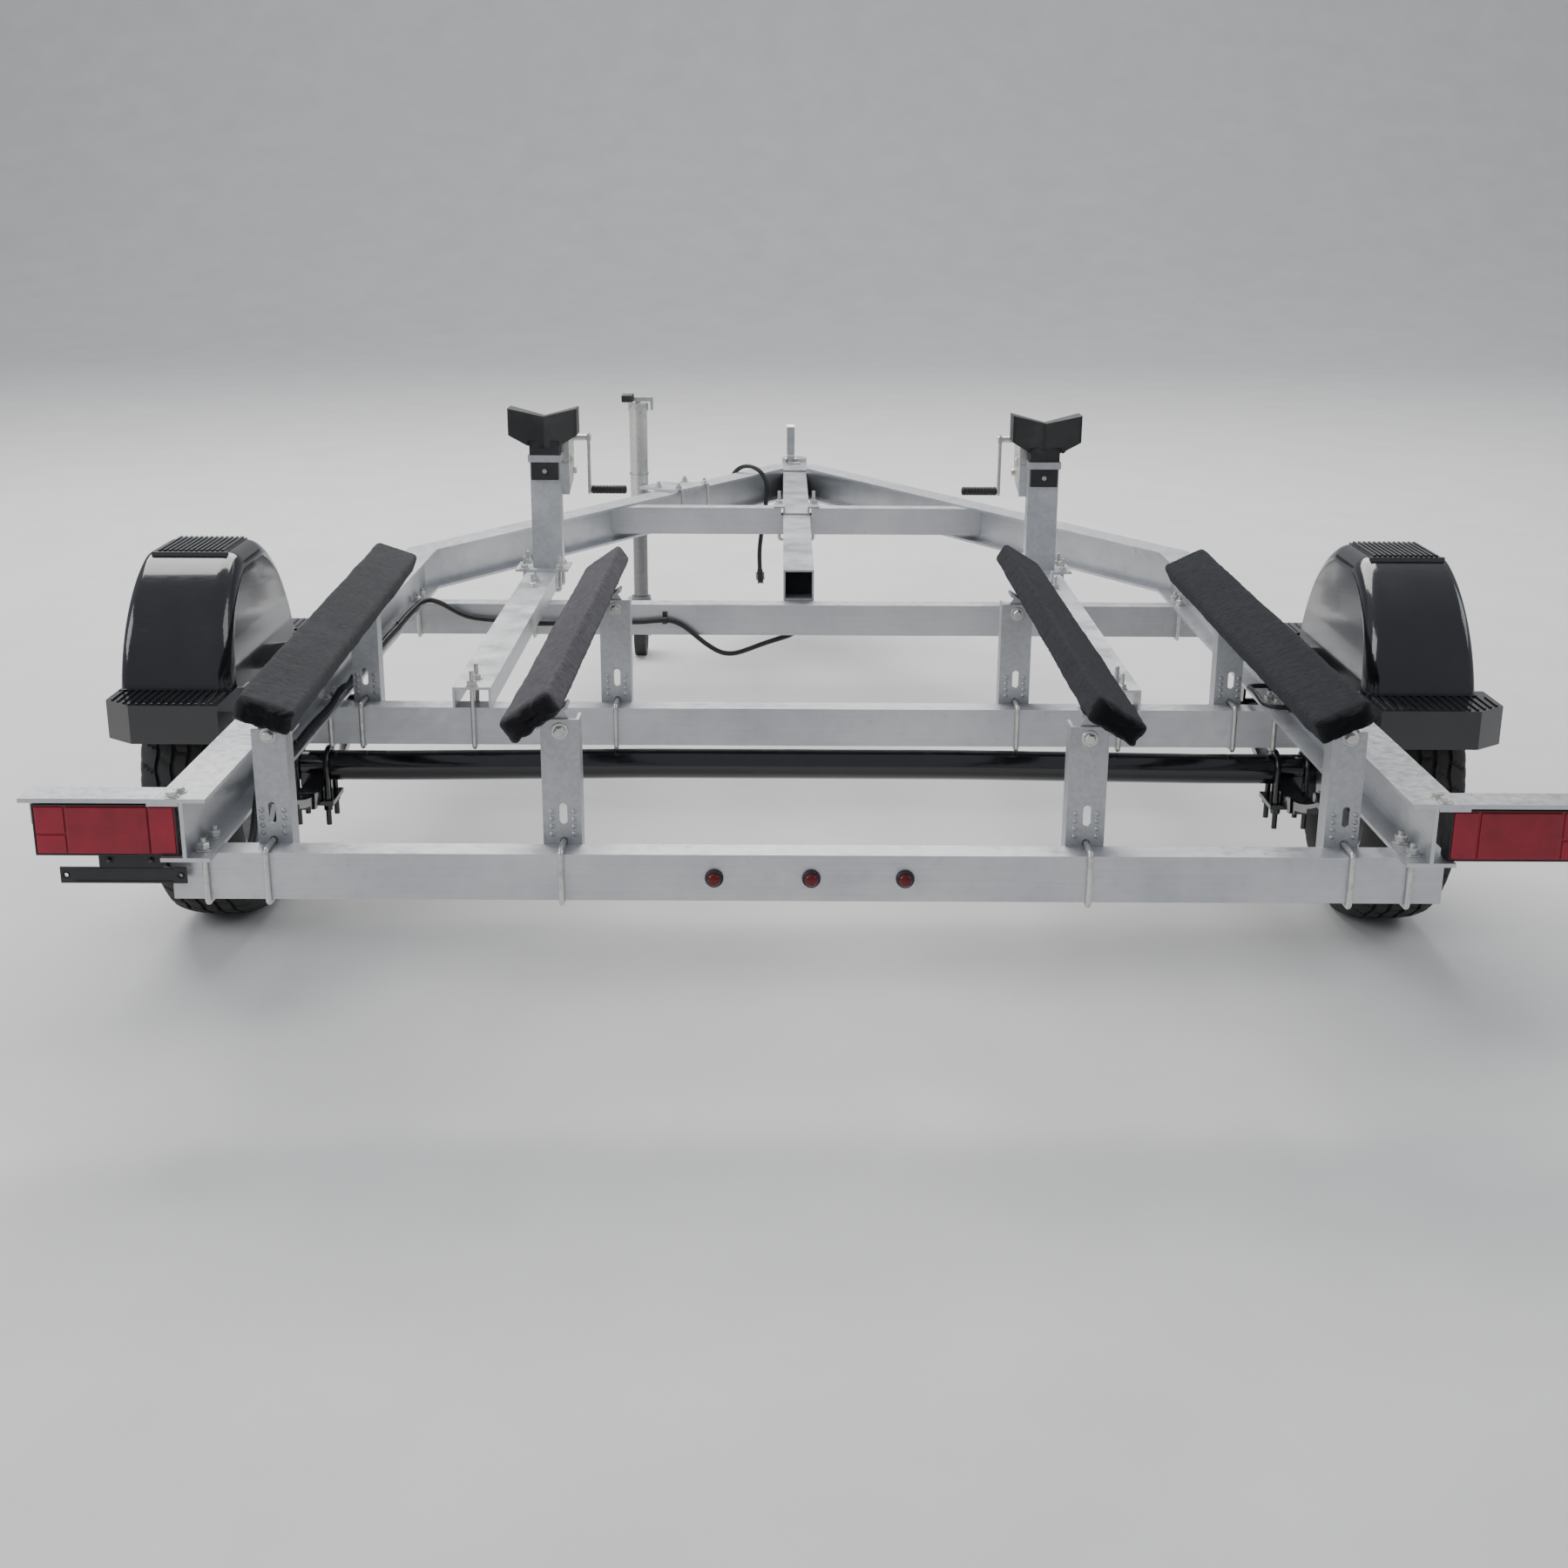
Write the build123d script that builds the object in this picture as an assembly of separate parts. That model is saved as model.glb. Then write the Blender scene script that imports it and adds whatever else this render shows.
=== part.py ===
from build123d import *
import os
from math import sin, cos, tan, atan2, radians, degrees, sqrt, hypot, pi

# Two-place watercraft trailer: bent aluminium I-beams on four cross tubes, a steel
# tongue tube, one leaf-sprung axle, four carpeted bunks, two winch posts and a jack.
# Millimetres.  +X to the right, +Y towards the coupler, +Z up, ground at z = 0.
# The origin is the bottom centre of the trailer's box.

os.makedirs("parts", exist_ok=True)

# ---------------------------------------------------------------- driving sizes
REAR_Y = -1969.0          # rear end of the beams
NOSE_Y = 1969.0           # front of the coupler
BEAM_X = 958.0            # web of the straight part of each beam
BEAM_H, BEAM_W = 101.6, 76.2
FLANGE_T, WEB_T = 6.4, 6.0
BEND_Y = 139.0            # where the beams turn inwards
V_SLOPE = 0.595           # dx/dy of the inclined part
Z_CM = 424.0              # top of the cross tubes, underside of the beams
CM_H, CM_D, CM_T = 76.2, 50.8, 3.2
CM_HALF = 994.0           # half length of the three lower cross tubes
CM_Y = {"rear": -1924.0, "axle": -1043.0, "mid": -53.0}   # rear faces
CM4_Y, CM4_Z = 844.0, 443.0
TUBE, TUBE_T = 76.2, 4.8  # tongue tube
TUBE_Y0, TUBE_Y1 = 6.0, 1790.0
AXLE_Y, AXLE_Z, AXLE_R = -1030.0, 300.0, 30.0
TYRE_R, TYRE_W, TRACK_X = 300.0, 174.0, 1160.0
SPRING_X = 980.0
FENDER_Y, FENDER_R, FENDER_ZC, FENDER_TOP = -1065.0, 257.0, 505.0, 752.0
STAY_Y = -1045.0          # middle between the two stays of a fender
FENDER_X = {"left": (1050.0, 1261.0, 14.0), "right": (1030.0, 1239.0, 19.0)}      # inner wall, outer wall, outer lean
LEDGE_X = 1261.0          # outer edge of the fenders' ledges
DRAFT_IN = 15.0          # how far the arch's inner wall leans at the top
FENDER_T = 4.0
LEDGE_L, LEDGE_Z, SKIRT_Z = 365.0, 528.0, 457.0
BUNK_W, BUNK_T = 96.0, 45.0
RAIL_X = {"left": -655.0, "right": 631.0}
POST_X = {"left": -642.0, "right": 620.0}
POST_Y = 160.0            # rear face of the winch posts
POST_TOP = {"left": 763.0, "right": 751.0}
RAIL_Z = 469.0            # top of the rails
JACK_OFF = 145.0          # jack centre line from the beam web
JACK_T = 1150.0           # jack station along y
E = 0.25                  # gap between faces that only lie side by side


# ---------------------------------------------------------------- helpers
def blk(x0, x1, y0, y1, z0, z1):
    return Pos((x0 + x1) / 2, (y0 + y1) / 2, (z0 + z1) / 2) * Box(abs(x1 - x0), abs(y1 - y0), abs(z1 - z0))


def plan(pts, z0, z1):
    """prism on a plan outline"""
    face = make_face(Polyline(*[(x, y) for x, y in pts], close=True))
    return Pos(0, 0, z0) * extrude(face, z1 - z0)


def xz(pts, y0, y1):
    """prism on an outline in x, z between two y"""
    face = make_face(Polyline(*[(x, y0, z) for x, z in pts], close=True))
    return extrude(face, y1 - y0, dir=(0, 1, 0))


def yz(pts, x0, x1):
    """prism on an outline in y, z between two x"""
    face = make_face(Polyline(*[(x0, y, z) for y, z in pts], close=True))
    return extrude(face, x1 - x0, dir=(1, 0, 0))


def rod(p0, p1, r):
    d = Vector(*p1) - Vector(*p0)
    return extrude(Plane(origin=p0, z_dir=d) * Circle(r), d.length)


def ring(p0, p1, r, ri):
    d = Vector(*p1) - Vector(*p0)
    return extrude(Plane(origin=p0, z_dir=d) * (Circle(r) - Circle(ri)), d.length)


def bent(pts, r, radii):
    """round bar along straight runs joined by tangent arcs"""
    path = FilletPolyline(*[Vector(*p) for p in pts], radius=radii)
    d = Vector(*pts[1]) - Vector(*pts[0])
    return sweep(Plane(origin=pts[0], z_dir=d) * Circle(r), path=Wire(path.edges()))


def cord(name, pts, r):
    """a cord's tube: each arc as large as its two runs allow"""
    v = [Vector(*p) for p in pts]
    radii = []
    for a, b, c in zip(v, v[1:], v[2:]):
        turn = radians((b - a).get_angle(c - b))
        radii.append(round(0.45 * min((b - a).length, (c - b).length) / tan(turn / 2), 2))
    path = Wire(FilletPolyline(*v, radius=radii).edges())
    solid = sweep(Plane(origin=pts[0], z_dir=v[1] - v[0]) * Circle(r), path=path)
    print(name, "least radius %.0f, length %.0f, volume ratio %.4f, runs %s" % (
        min(radii), path.length, solid.volume / (pi * r * r * path.length),
        [round((b - a).length) for a, b in zip(v, v[1:])]))
    return solid


def union(items):
    out = items[0]
    for s in items[1:]:
        out = out + s
    return out


def one(shape):
    s = shape.solids()
    return s[0] if len(s) == 1 else Compound(children=list(s))


def mirror_x(shape):
    return mirror(shape, about=Plane.YZ)


NODES = {}


def put(name, *shapes):
    solids = []
    for s in shapes:
        solids += list(s.solids())
    NODES[name] = solids[0] if len(solids) == 1 else Compound(children=solids)


# ---------------------------------------------------------------- beams
V_ANG = atan2(V_SLOPE, 1.0)
U = (sin(V_ANG), cos(V_ANG))          # along the inclined left beam, forwards
N = (-cos(V_ANG), sin(V_ANG))         # its outward normal


def web_x(y):
    """x of the left beam's web at y"""
    return -BEAM_X if y <= BEND_Y else -BEAM_X + V_SLOPE * (y - BEND_Y)


def strip(a, b):
    """plan outline of a strip of the left beam between offsets a and b from the web, outward positive"""
    y_end = BEND_Y + (BEAM_X + 60) / V_SLOPE

    def line(o):
        # the offset line meets the bend's mitre
        h = tan(V_ANG / 2)
        x1 = -BEAM_X - o
        y1 = BEND_Y + o * h
        return [(x1, REAR_Y), (x1, y1), (web_x(y_end) + N[0] * o, y_end + N[1] * o)]
    return line(a) + line(b)[::-1]


def left_beam():
    h = BEAM_W / 2
    body = plan(strip(-h, h), Z_CM, Z_CM + FLANGE_T) \
        + plan(strip(-h, h), Z_CM + BEAM_H - FLANGE_T, Z_CM + BEAM_H) \
        + plan(strip(-WEB_T / 2, WEB_T / 2), Z_CM + FLANGE_T, Z_CM + BEAM_H - FLANGE_T)
    return body & blk(-1100, -TUBE / 2 - E, REAR_Y, 1700, 0, 900)


beam_l = left_beam()
put("beam_left", beam_l)
put("beam_right", mirror_x(beam_l))

# ---------------------------------------------------------------- cross tubes
for name, y in CM_Y.items():
    put("crossmember_" + name,
        blk(-CM_HALF, CM_HALF, y, y + CM_D, Z_CM - CM_H, Z_CM - E)
        - blk(-CM_HALF - 1, CM_HALF + 1, y + CM_T, y + CM_D - CM_T, Z_CM - CM_H + CM_T, Z_CM - CM_T))

# front cross tube: two halves between the webs and the tongue tube
y0, y1 = CM4_Y, CM4_Y + CM_D
gap = (WEB_T / 2 + E) / cos(V_ANG)


def trapezium(inset, ya, yb):
    xa, xb = -web_x(ya) - gap - inset, -web_x(yb) - gap - inset
    return [(-xa, ya), (xa, ya), (xb, yb), (-xb, yb)]


cm4 = plan(trapezium(0, y0, y1), CM4_Z, CM4_Z + CM_H)
cm4 = cm4 - blk(-700, 700, y0 + CM_T, y1 - CM_T, CM4_Z + CM_T, CM4_Z + CM_H - CM_T)
cm4 = cm4 - blk(-TUBE / 2 - E, TUBE / 2 + E, y0 - 1, y1 + 1, CM4_Z - 1, CM4_Z + CM_H + 1)
cm4 = cm4 - blk(-TUBE / 2 - 5 - 2 * E, TUBE / 2 + 5 + 2 * E, y0 - 1, y1 + 1, Z_CM + TUBE - 2, CM4_Z + CM_H + 1)
put("crossmember_front", cm4)

# ---------------------------------------------------------------- tongue tube and coupler
tube = blk(-TUBE / 2, TUBE / 2, TUBE_Y0, TUBE_Y1, Z_CM, Z_CM + TUBE) \
    - blk(-TUBE / 2 + TUBE_T, TUBE / 2 - TUBE_T, TUBE_Y0 - 1, TUBE_Y1 + 1, Z_CM + TUBE_T, Z_CM + TUBE - TUBE_T)
put("tongue_tube", tube)

# angle clip in front of the middle cross tube, and a saddle strap that dips over the tongue tube
ym = CM_Y["mid"] + CM_D
clips = [blk(-38, 38, ym + E, ym + 5, Z_CM - 60, Z_CM - E) + blk(-38, 38, ym + E, ym + 62, Z_CM - 5, Z_CM - E)]
zs, zc, xs = Z_CM + TUBE + E, CM4_Z + CM_H + E, TUBE / 2 + E
SADDLE_Y = (CM4_Y - 5.0, CM4_Y + CM_D + 20.0)
TONGUE_U = (50.0, CM4_Y + CM_D + 6.0)     # x and y of the legs of the U-bolt round the tongue tube
saddle = xz([(-66, zc), (-xs, zc), (-xs, zs), (xs, zs), (xs, zc), (66, zc), (66, zc + 5), (xs - 5 + 0.01, zc + 5), (xs - 5 + 0.01, zs + 5),
             (-xs + 5 - 0.01, zs + 5), (-xs + 5 - 0.01, zc + 5), (-66, zc + 5)], *SADDLE_Y)
for q in (-1, 1):
    saddle = saddle - rod((q * TONGUE_U[0], TONGUE_U[1], zc - 5), (q * TONGUE_U[0], TONGUE_U[1], zc + 10), 5.7)
clips.append(saddle)
put("tongue_brackets", *clips)

# coupler: sleeve over the tube's end, pressed nose with a ball socket open below
BALL_Y = NOSE_Y - 42.0
SOCK_R, SOCK_Z0 = 26.0, 468.0
sleeve = blk(-45, 45, 1706, 1830, Z_CM + 12, Z_CM + TUBE + 6.4) \
    - blk(-TUBE / 2 - E, TUBE / 2 + E, 1640, TUBE_Y1 + 2, 0, Z_CM + TUBE + E)
nose = plan([(-45, 1825), (45, 1825), (38, 1895), (38, BALL_Y), (-38, BALL_Y), (-38, 1895)], SOCK_Z0 - 2, Z_CM + TUBE + 6.4)
nose = nose + Pos(0, BALL_Y, 0) * extrude(Pos(0, 0, SOCK_Z0 - 2) * Circle(42), 52)
sock = Pos(0, BALL_Y, 0) * extrude(Pos(0, 0, SOCK_Z0 - 30) * Circle(SOCK_R), 62)
coupler = sleeve + nose - sock
coupler = coupler - blk(-34, 34, TUBE_Y1 + 12, BALL_Y - 34, 400, 498)
put("coupler", coupler)
zt = Z_CM + TUBE + 6.4
put("coupler_latch", yz([(1870, zt + 12.5), (1912, zt + 12.5), (1912, zt + 24), (1903, zt + 30), (1914, zt + 120), (1905, zt + 126), (1892, zt + 119), (1884, zt + 28), (1870, zt + 24)], -26, 0))

# ---------------------------------------------------------------- axle, springs and their fittings
X_END = 1065.0
axle = bent([(-X_END, AXLE_Y, AXLE_Z), (-800, AXLE_Y, AXLE_Z), (-300, AXLE_Y, AXLE_Z + 6), (300, AXLE_Y, AXLE_Z + 6),
             (800, AXLE_Y, AXLE_Z), (X_END, AXLE_Y, AXLE_Z)], AXLE_R, 5000)
SPINDLE_R = 16.0
for s in (-1, 1):
    axle = axle + rod((s * (X_END - 20), AXLE_Y, AXLE_Z), (s * 1181, AXLE_Y, AXLE_Z), SPINDLE_R)
put("axle", axle)

EYE_L, LEAF_W = 330.0, 45.0
LEAVES = [(0, 8, 330), (8, 16, 235), (16, 24, 150)]     # inner and outer offset, half length
Z_LEAF = 262.0                                             # top of the pack at the axle
Z_EYE = 338.0
R_LEAF = (EYE_L ** 2 + (Z_EYE - Z_LEAF) ** 2) / (2 * (Z_EYE - Z_LEAF))


def spring(x):
    z_c = Z_LEAF + R_LEAF
    parts = []
    for a, b, half in LEAVES:
        arc = Plane.YZ * (Pos(AXLE_Y, z_c) * (Circle(R_LEAF + b) - Circle(R_LEAF + a)))
        cut = Plane.YZ * (Pos(AXLE_Y, Z_LEAF + 30) * Rectangle(2 * half, 160))
        parts.append(Pos(x - LEAF_W / 2, 0, 0) * extrude(arc & cut, LEAF_W))
    s = union(parts)
    for e in (-1, 1):
        y = AXLE_Y + e * EYE_L
        s = s + rod((x - LEAF_W / 2, y, Z_EYE + 6), (x + LEAF_W / 2, y, Z_EYE + 6), 17)
    for e in (-1, 1):
        y = AXLE_Y + e * EYE_L
        s = s - rod((x - LEAF_W, y, Z_EYE + 6), (x + LEAF_W, y, Z_EYE + 6), 8.3)
    return s


put("leaf_springs", spring(-SPRING_X), spring(SPRING_X))

fit = []
for x in (-SPRING_X, SPRING_X):
    for e in (-1, 1):
        y = AXLE_Y + e * EYE_L
        w = LEAF_W / 2 + 1.0
        h = blk(x - w - 5, x + w + 5, y - 32, y + 32, Z_CM - 8, Z_CM - E)
        for q in (-1, 1):
            a, b = sorted((x + q * w, x + q * (w + 5)))
            h = h + yz([(y - 32, Z_CM - 4), (y + 32, Z_CM - 4), (y + 22, Z_EYE - 16), (y - 22, Z_EYE - 16)], a, b)
        h = h + rod((x - w - 14, y, Z_EYE + 6), (x + w + 14, y, Z_EYE + 6), 8)
        fit.append(h)
    # spring seat under the axle, tie plate under the springs
    seat = blk(x - 24, x + 24, AXLE_Y - 29, AXLE_Y + 29, Z_LEAF, 292) \
        - rod((x - 60, AXLE_Y, AXLE_Z), (x + 60, AXLE_Y, AXLE_Z), AXLE_R + 0.2) 
    seat = seat & rod((x - 60, AXLE_Y, Z_LEAF + R_LEAF), (x + 60, AXLE_Y, Z_LEAF + R_LEAF), R_LEAF - 0.3)
    fit.append(seat)
    z_tie = Z_LEAF - 24.4
    fit.append(blk(x - 43, x + 43, AXLE_Y - 48, AXLE_Y + 48, z_tie - 9, z_tie)
               - union([rod((x + q * 29.5, AXLE_Y + e * 36, z_tie - 30), (x + q * 29.5, AXLE_Y + e * 36, z_tie + 10), 5.9) for q in (-1, 1) for e in (-1, 1)]))
    for q in (-1, 1):
        fit.append(bent([(x + q * 29.5, AXLE_Y - 36, 186), (x + q * 29.5, AXLE_Y - 36, AXLE_Z + 36.2),
                         (x + q * 29.5, AXLE_Y + 36, AXLE_Z + 36.2), (x + q * 29.5, AXLE_Y + 36, 186)], 5.5, 35.9))
put("spring_fittings", *fit)

# ---------------------------------------------------------------- wheels
BEAD_R = 166.0
TYRE_PROFILE = [(-52, BEAD_R), (-54, 181), (-66, 190), (-80, 208), (-87, 240), (-82, 272), (-70, 291), (-45, 299), (0, TYRE_R)]   # offset from the centre plane, radius


def about_x(pts, xc):
    face = make_face(Polyline(*[(xc + x, AXLE_Y, AXLE_Z + r) for x, r in pts], close=True))
    return revolve(face, axis=Axis((0, AXLE_Y, AXLE_Z), (1, 0, 0)), revolution_arc=360)


for side, s in (("left", -1), ("right", 1)):
    xc = s * TRACK_X
    half = TYRE_PROFILE
    put("tyre_" + side, about_x(half + [(-x, r) for x, r in half[-2::-1]], xc))
    rim = about_x([(-62, 178), (-55.5, 178), (-53.3, 165.6), (53.3, 165.6), (55.5, 178), (62, 178), (62, 174), (57, 160), (-57, 160), (-62, 174)], xc)
    # dished disc with five windows, its face on the outer half of the rim
    disc = about_x([(s * 22, 46), (s * 22, 92), (s * 44, 120), (s * 44, 161), (s * 37, 161), (s * 37, 124), (s * 15, 96), (s * 15, 46)], xc)
    for k in range(5):
        a = radians(72 * k + 36)
        p = (AXLE_Y + 118 * sin(a), AXLE_Z + 118 * cos(a))
        disc = disc - rod((xc - 80, p[0], p[1]), (xc + 80, p[0], p[1]), 21)
    put("rim_" + side, rim + disc)
    # hub: flange behind the disc, grease cap through it, bored for the spindle
    inner = s * (X_END + 12)
    hub = rod((inner, AXLE_Y, AXLE_Z), (xc + s * 14.6, AXLE_Y, AXLE_Z), 34) \
        + rod((xc + s * 2, AXLE_Y, AXLE_Z), (xc + s * 14.6, AXLE_Y, AXLE_Z), 66) \
        + rod((xc + s * 14.6, AXLE_Y, AXLE_Z), (xc + s * 52, AXLE_Y, AXLE_Z), 30) \
        + rod((xc + s * 52, AXLE_Y, AXLE_Z), (xc + s * 62, AXLE_Y, AXLE_Z), 24)
    hub = hub - rod((s * (X_END - 10), AXLE_Y, AXLE_Z), (s * 1186, AXLE_Y, AXLE_Z), SPINDLE_R + 0.06)
    put("hub_" + side, hub)

# ---------------------------------------------------------------- fenders
def fender(x0, x1, lean, s):
    """hollow moulded fender; x0 inner, x1 outer (positive), s = side"""
    def arch(g):
        a, b = x0 + g, x1 - g
        r = FENDER_R - g
        prof = Plane.YZ * (Pos(FENDER_Y, FENDER_ZC) * Circle(r) & Pos(FENDER_Y, (FENDER_ZC + FENDER_TOP - g) / 2) * Rectangle(2 * r, FENDER_TOP - g - FENDER_ZC))
        top = prof.vertices().filter_by(lambda v: v.Z > FENDER_TOP - g - 1)
        prof = fillet(top, 90)
        body = Pos(a, 0, 0) * extrude(prof, b - a)
        # both side walls lean in towards the top
        h, up = FENDER_TOP - FENDER_ZC, 60.0
        k = (h + up) / h
        body = body - xz([(a - 60, FENDER_ZC), (a, FENDER_ZC), (a + DRAFT_IN * k, FENDER_ZC + h * k), (a - 60, FENDER_ZC + h * k)], FENDER_Y - 400, FENDER_Y + 400)
        body = body - xz([(b + 60, FENDER_ZC), (b, FENDER_ZC), (b - lean * k, FENDER_ZC + h * k), (b + 60, FENDER_ZC + h * k)], FENDER_Y - 400, FENDER_Y + 400)

        def on(e, x, dx):
            return e.center().Z > FENDER_ZC + 1 and all(abs(v.X - x - dx * (v.Z - FENDER_ZC) / h) < 0.02 for v in [q.center() for q in e.vertices()] + [e.position_at(0.5)])
        body = fillet(body.edges().filter_by(lambda e: on(e, a, DRAFT_IN)), 34 - g)
        return fillet(body.edges().filter_by(lambda e: on(e, b, -lean)), 18 - g)

    def ledge(g, e):
        a, b, L, k = x0 + g, LEDGE_X - g, LEDGE_L - g, 0.6 * g
        z0, z1 = SKIRT_Z - (20 if g else 0), LEDGE_Z - g
        y0, y1 = sorted((FENDER_Y + e * L, FENDER_Y + e * (FENDER_R - 40)))
        y2 = FENDER_Y + e * (L - 40)
        ye, yi = FENDER_Y + e * L, FENDER_Y + e * (FENDER_R - 40)
        return plan([(a, ye), (b - 52 + k, ye), (b, y2), (b, yi), (a, yi)], z0, z1)

    def low(g):
        return blk(x0 + g, x1 - g, FENDER_Y - FENDER_R + g, FENDER_Y + FENDER_R - g, SKIRT_Z - (20 if g else 0), FENDER_ZC + 0.5)
    shape = arch(0) + low(0) + ledge(0, -1) + ledge(0, 1)
    for v in (arch(FENDER_T), low(FENDER_T), ledge(FENDER_T, -1), ledge(FENDER_T, 1)):
        shape = shape - v
    # wheel opening in the outer wall
    shape = shape - rod((x1 - 24, AXLE_Y, AXLE_Z), (LEDGE_X + 12, AXLE_Y, AXLE_Z), 326)
    return shape if s > 0 else mirror_x(shape)


put("fender_left", fender(*FENDER_X["left"], -1))
put("fender_right", fender(*FENDER_X["right"], 1))

stays = []
for side, s in (("left", -1), ("right", 1)):
    xf = FENDER_X[side][0] - E
    for dy in (-190, 190):
        y = STAY_Y + dy
        a, b = sorted((s * (BEAM_X + WEB_T / 2 + E), s * xf))
        arm = blk(a, b, y - 3, y + 3, 466, 514)
        a, b = sorted((s * (xf - 6), s * xf))
        arm = arm + blk(a, b, y - 3, y + 40, 466, 514)
        a, b = sorted((s * (BEAM_X + WEB_T / 2 + E), s * (BEAM_X + WEB_T / 2 + 6)))
        arm = arm + blk(a, b, y - 3, y + 40, 466, 514)
        stays.append(arm)
put("fender_stays", *stays)

# ---------------------------------------------------------------- light bars, lights, plate bracket
ZF = Z_CM + BEAM_H
bars, cases, lenses = [], [], []
LAMP_X = {-1: (969, 1190, 1206), 1: (986, 1207, 1222)}      # case from, case to, end of the bar
for s in (-1, 1):
    lx0, lx1, bar_end = LAMP_X[s]
    a, b = sorted((s * 962, s * 1010))
    bar = blk(a, b, REAR_Y + 0.5, REAR_Y + 61, ZF - FLANGE_T - 5.5, ZF - FLANGE_T - E)
    a, b = sorted((s * (BEAM_X + BEAM_W / 2 + 0.4), s * bar_end))
    bar = bar + blk(a, b, REAR_Y + 0.5, REAR_Y + 61, ZF - FLANGE_T - E - 0.4, ZF)
    a, b = sorted((s * 1002, s * bar_end))
    bars.append(bar + blk(a, b, REAR_Y + 46, REAR_Y + 51, ZF - 56, ZF - FLANGE_T))
    a, b = sorted((s * lx0, s * lx1))
    case = blk(a, b, REAR_Y + 22, REAR_Y + 45.5, 430.8, 513.4) - blk(a + 2.5, b - 2.5, REAR_Y + 20, REAR_Y + 30, 433, 511.2)
    cases.append(case)
    lenses.append(blk(a + 2.5 + E, b - 2.5 - E, REAR_Y + 11, REAR_Y + 30 - E, 433 + E, 511.2 - E))
put("light_bars", *bars)
put("tail_light_cases", *cases)
put("tail_light_lenses", *lenses)

plate = blk(-1162, -966, REAR_Y + 26, REAR_Y + 30, 380, 406) \
    + blk(-1100, -1003, REAR_Y + 26, REAR_Y + 30, 405, 431 - E) \
    + blk(-1100, -1003, REAR_Y + 26, REAR_Y + 45.5, 427, 431 - E)
PLATE_HX = (-1152.9, -975.1)
for hx in PLATE_HX:
    plate = plate - rod((hx, REAR_Y + 20, 393), (hx, REAR_Y + 40, 393), 3.5)
put("plate_bracket", plate)

ids = []
for x in (-147, 5, 152):
    y = CM_Y["rear"] - E
    ids.append(rod((x, y, 386), (x, y - 7, 386), 13.5) + rod((x, y - 7, 386), (x, y - 11, 386), 10))
put("id_lights", *ids)

# ---------------------------------------------------------------- bunks and their posts
# name: x at the rear post and at the front post of the bunk's centre, z, tilt, rear y, front y, post x rear, post x front, leg side
BUNKS = {
    "outer_left": (-838, -883, 642, -19.0, -1925, -585, -842, -875, 1),
    "inner_left": (-429, -416, 641, 35.0, -1930, -650, -388, -374, 1),
    "inner_right": (473, 470, 637, -32.0, -1925, -583, 438, 425, -1),
    "outer_right": (823, 832, 638, 25.5, -1925, -615, 844, 855, -1),
}
posts, ubolts = [], []
PIVOT_DN = 27.0
POST_SIZE = {"outer_left": (54.0, -3.0), "inner_left": (61.0, 2.0), "inner_right": (61.0, 2.0), "outer_right": (54.0, 5.0)}      # width, slot's offset
for name, (xr, xf, z, tilt, yr, yf, pr, pf, leg) in BUNKS.items():
    t = radians(tilt)
    u, n = (cos(t), sin(t)), (-sin(t), cos(t))
    w, h = BUNK_W / 2, BUNK_T / 2
    c = 9.0

    # rounded rectangular section at the rear, run straight to the front end
    pl = Plane(origin=(xr, yr, z), x_dir=(u[0], 0, u[1]), z_dir=(0, -1, 0))
    put("bunk_" + name, extrude(pl * RectangleRounded(2 * w, 2 * h, c), hypot(xf - xr, yf - yr), dir=Vector(xf - xr, yf - yr, 0).normalized()))
    pw, ox = POST_SIZE[name]
    for cm, xp in (("rear", pr), ("axle", pf)):
        y = CM_Y[cm] + CM_D + E
        f = (y - yr) / (yf - yr)
        xb = xr + f * (xf - xr)
        # pivot: 27 below the underside, on the post's centre line
        k = -(h + PIVOT_DN)
        su = (xp - (xb + k * n[0])) / u[0]
        pz = z + k * n[1] + su * u[1]
        top = pz + 19
        plate = blk(xp - pw / 2, xp + pw / 2, y, y + 5, 334, top)
        a, b = sorted((xp + leg * pw / 2, xp + leg * (pw / 2 - 5)))
        plate = plate + blk(a, b, y, y + 42, 334, top)
        # trim the post parallel to the bunk
        q = h + 2.5
        big = [(xb - 400 * u[0] - q * n[0], z - 400 * u[1] - q * n[1]), (xb + 400 * u[0] - q * n[0], z + 400 * u[1] - q * n[1]),
               (xb + 400 * u[0] + 300 * n[0], z + 400 * u[1] + 300 * n[1]), (xb - 400 * u[0] + 300 * n[0], z - 400 * u[1] + 300 * n[1])]
        plate = plate - xz(big, y - 60, y + 100)
        # swivel tab on the front of the post: web down to the pivot, flange under the bunk
        g = 0.3 + abs((xf - xr) / (yf - yr) * 54 * u[1])

        def p(a_, b_):
            return (xb + a_ * u[0] + b_ * n[0], z + a_ * u[1] + b_ * n[1])
        tab = xz([p(su - 22, -h - g), p(su + 22, -h - g), p(su + 22, k - 6), p(su + 12, k - 17), p(su - 12, k - 17), p(su - 22, k - 6)], y + 5, y + 9)
        tab = tab + xz([p(su - 30, -h - g), p(su + 30, -h - g), p(su + 30, -h - g - 5), p(su - 30, -h - g - 5)], y + 5, y + 52)
        # the leg of the post stands clear of the tab
        posts.append(plate + tab)
        # square U-bolt lying round the cross tube, through the post's slot
        yb = CM_Y[cm] - 4.9
        zt, zb = Z_CM + 4.9, Z_CM - CM_H - 5.1
        ubolts.append(bent([(xp + ox, y + 24, zt + 0.2), (xp + ox, yb, zt + 0.2), (xp + ox, yb, zb), (xp + ox, y + 24, zb)], 4.5, 6))
posts2 = []
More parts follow.
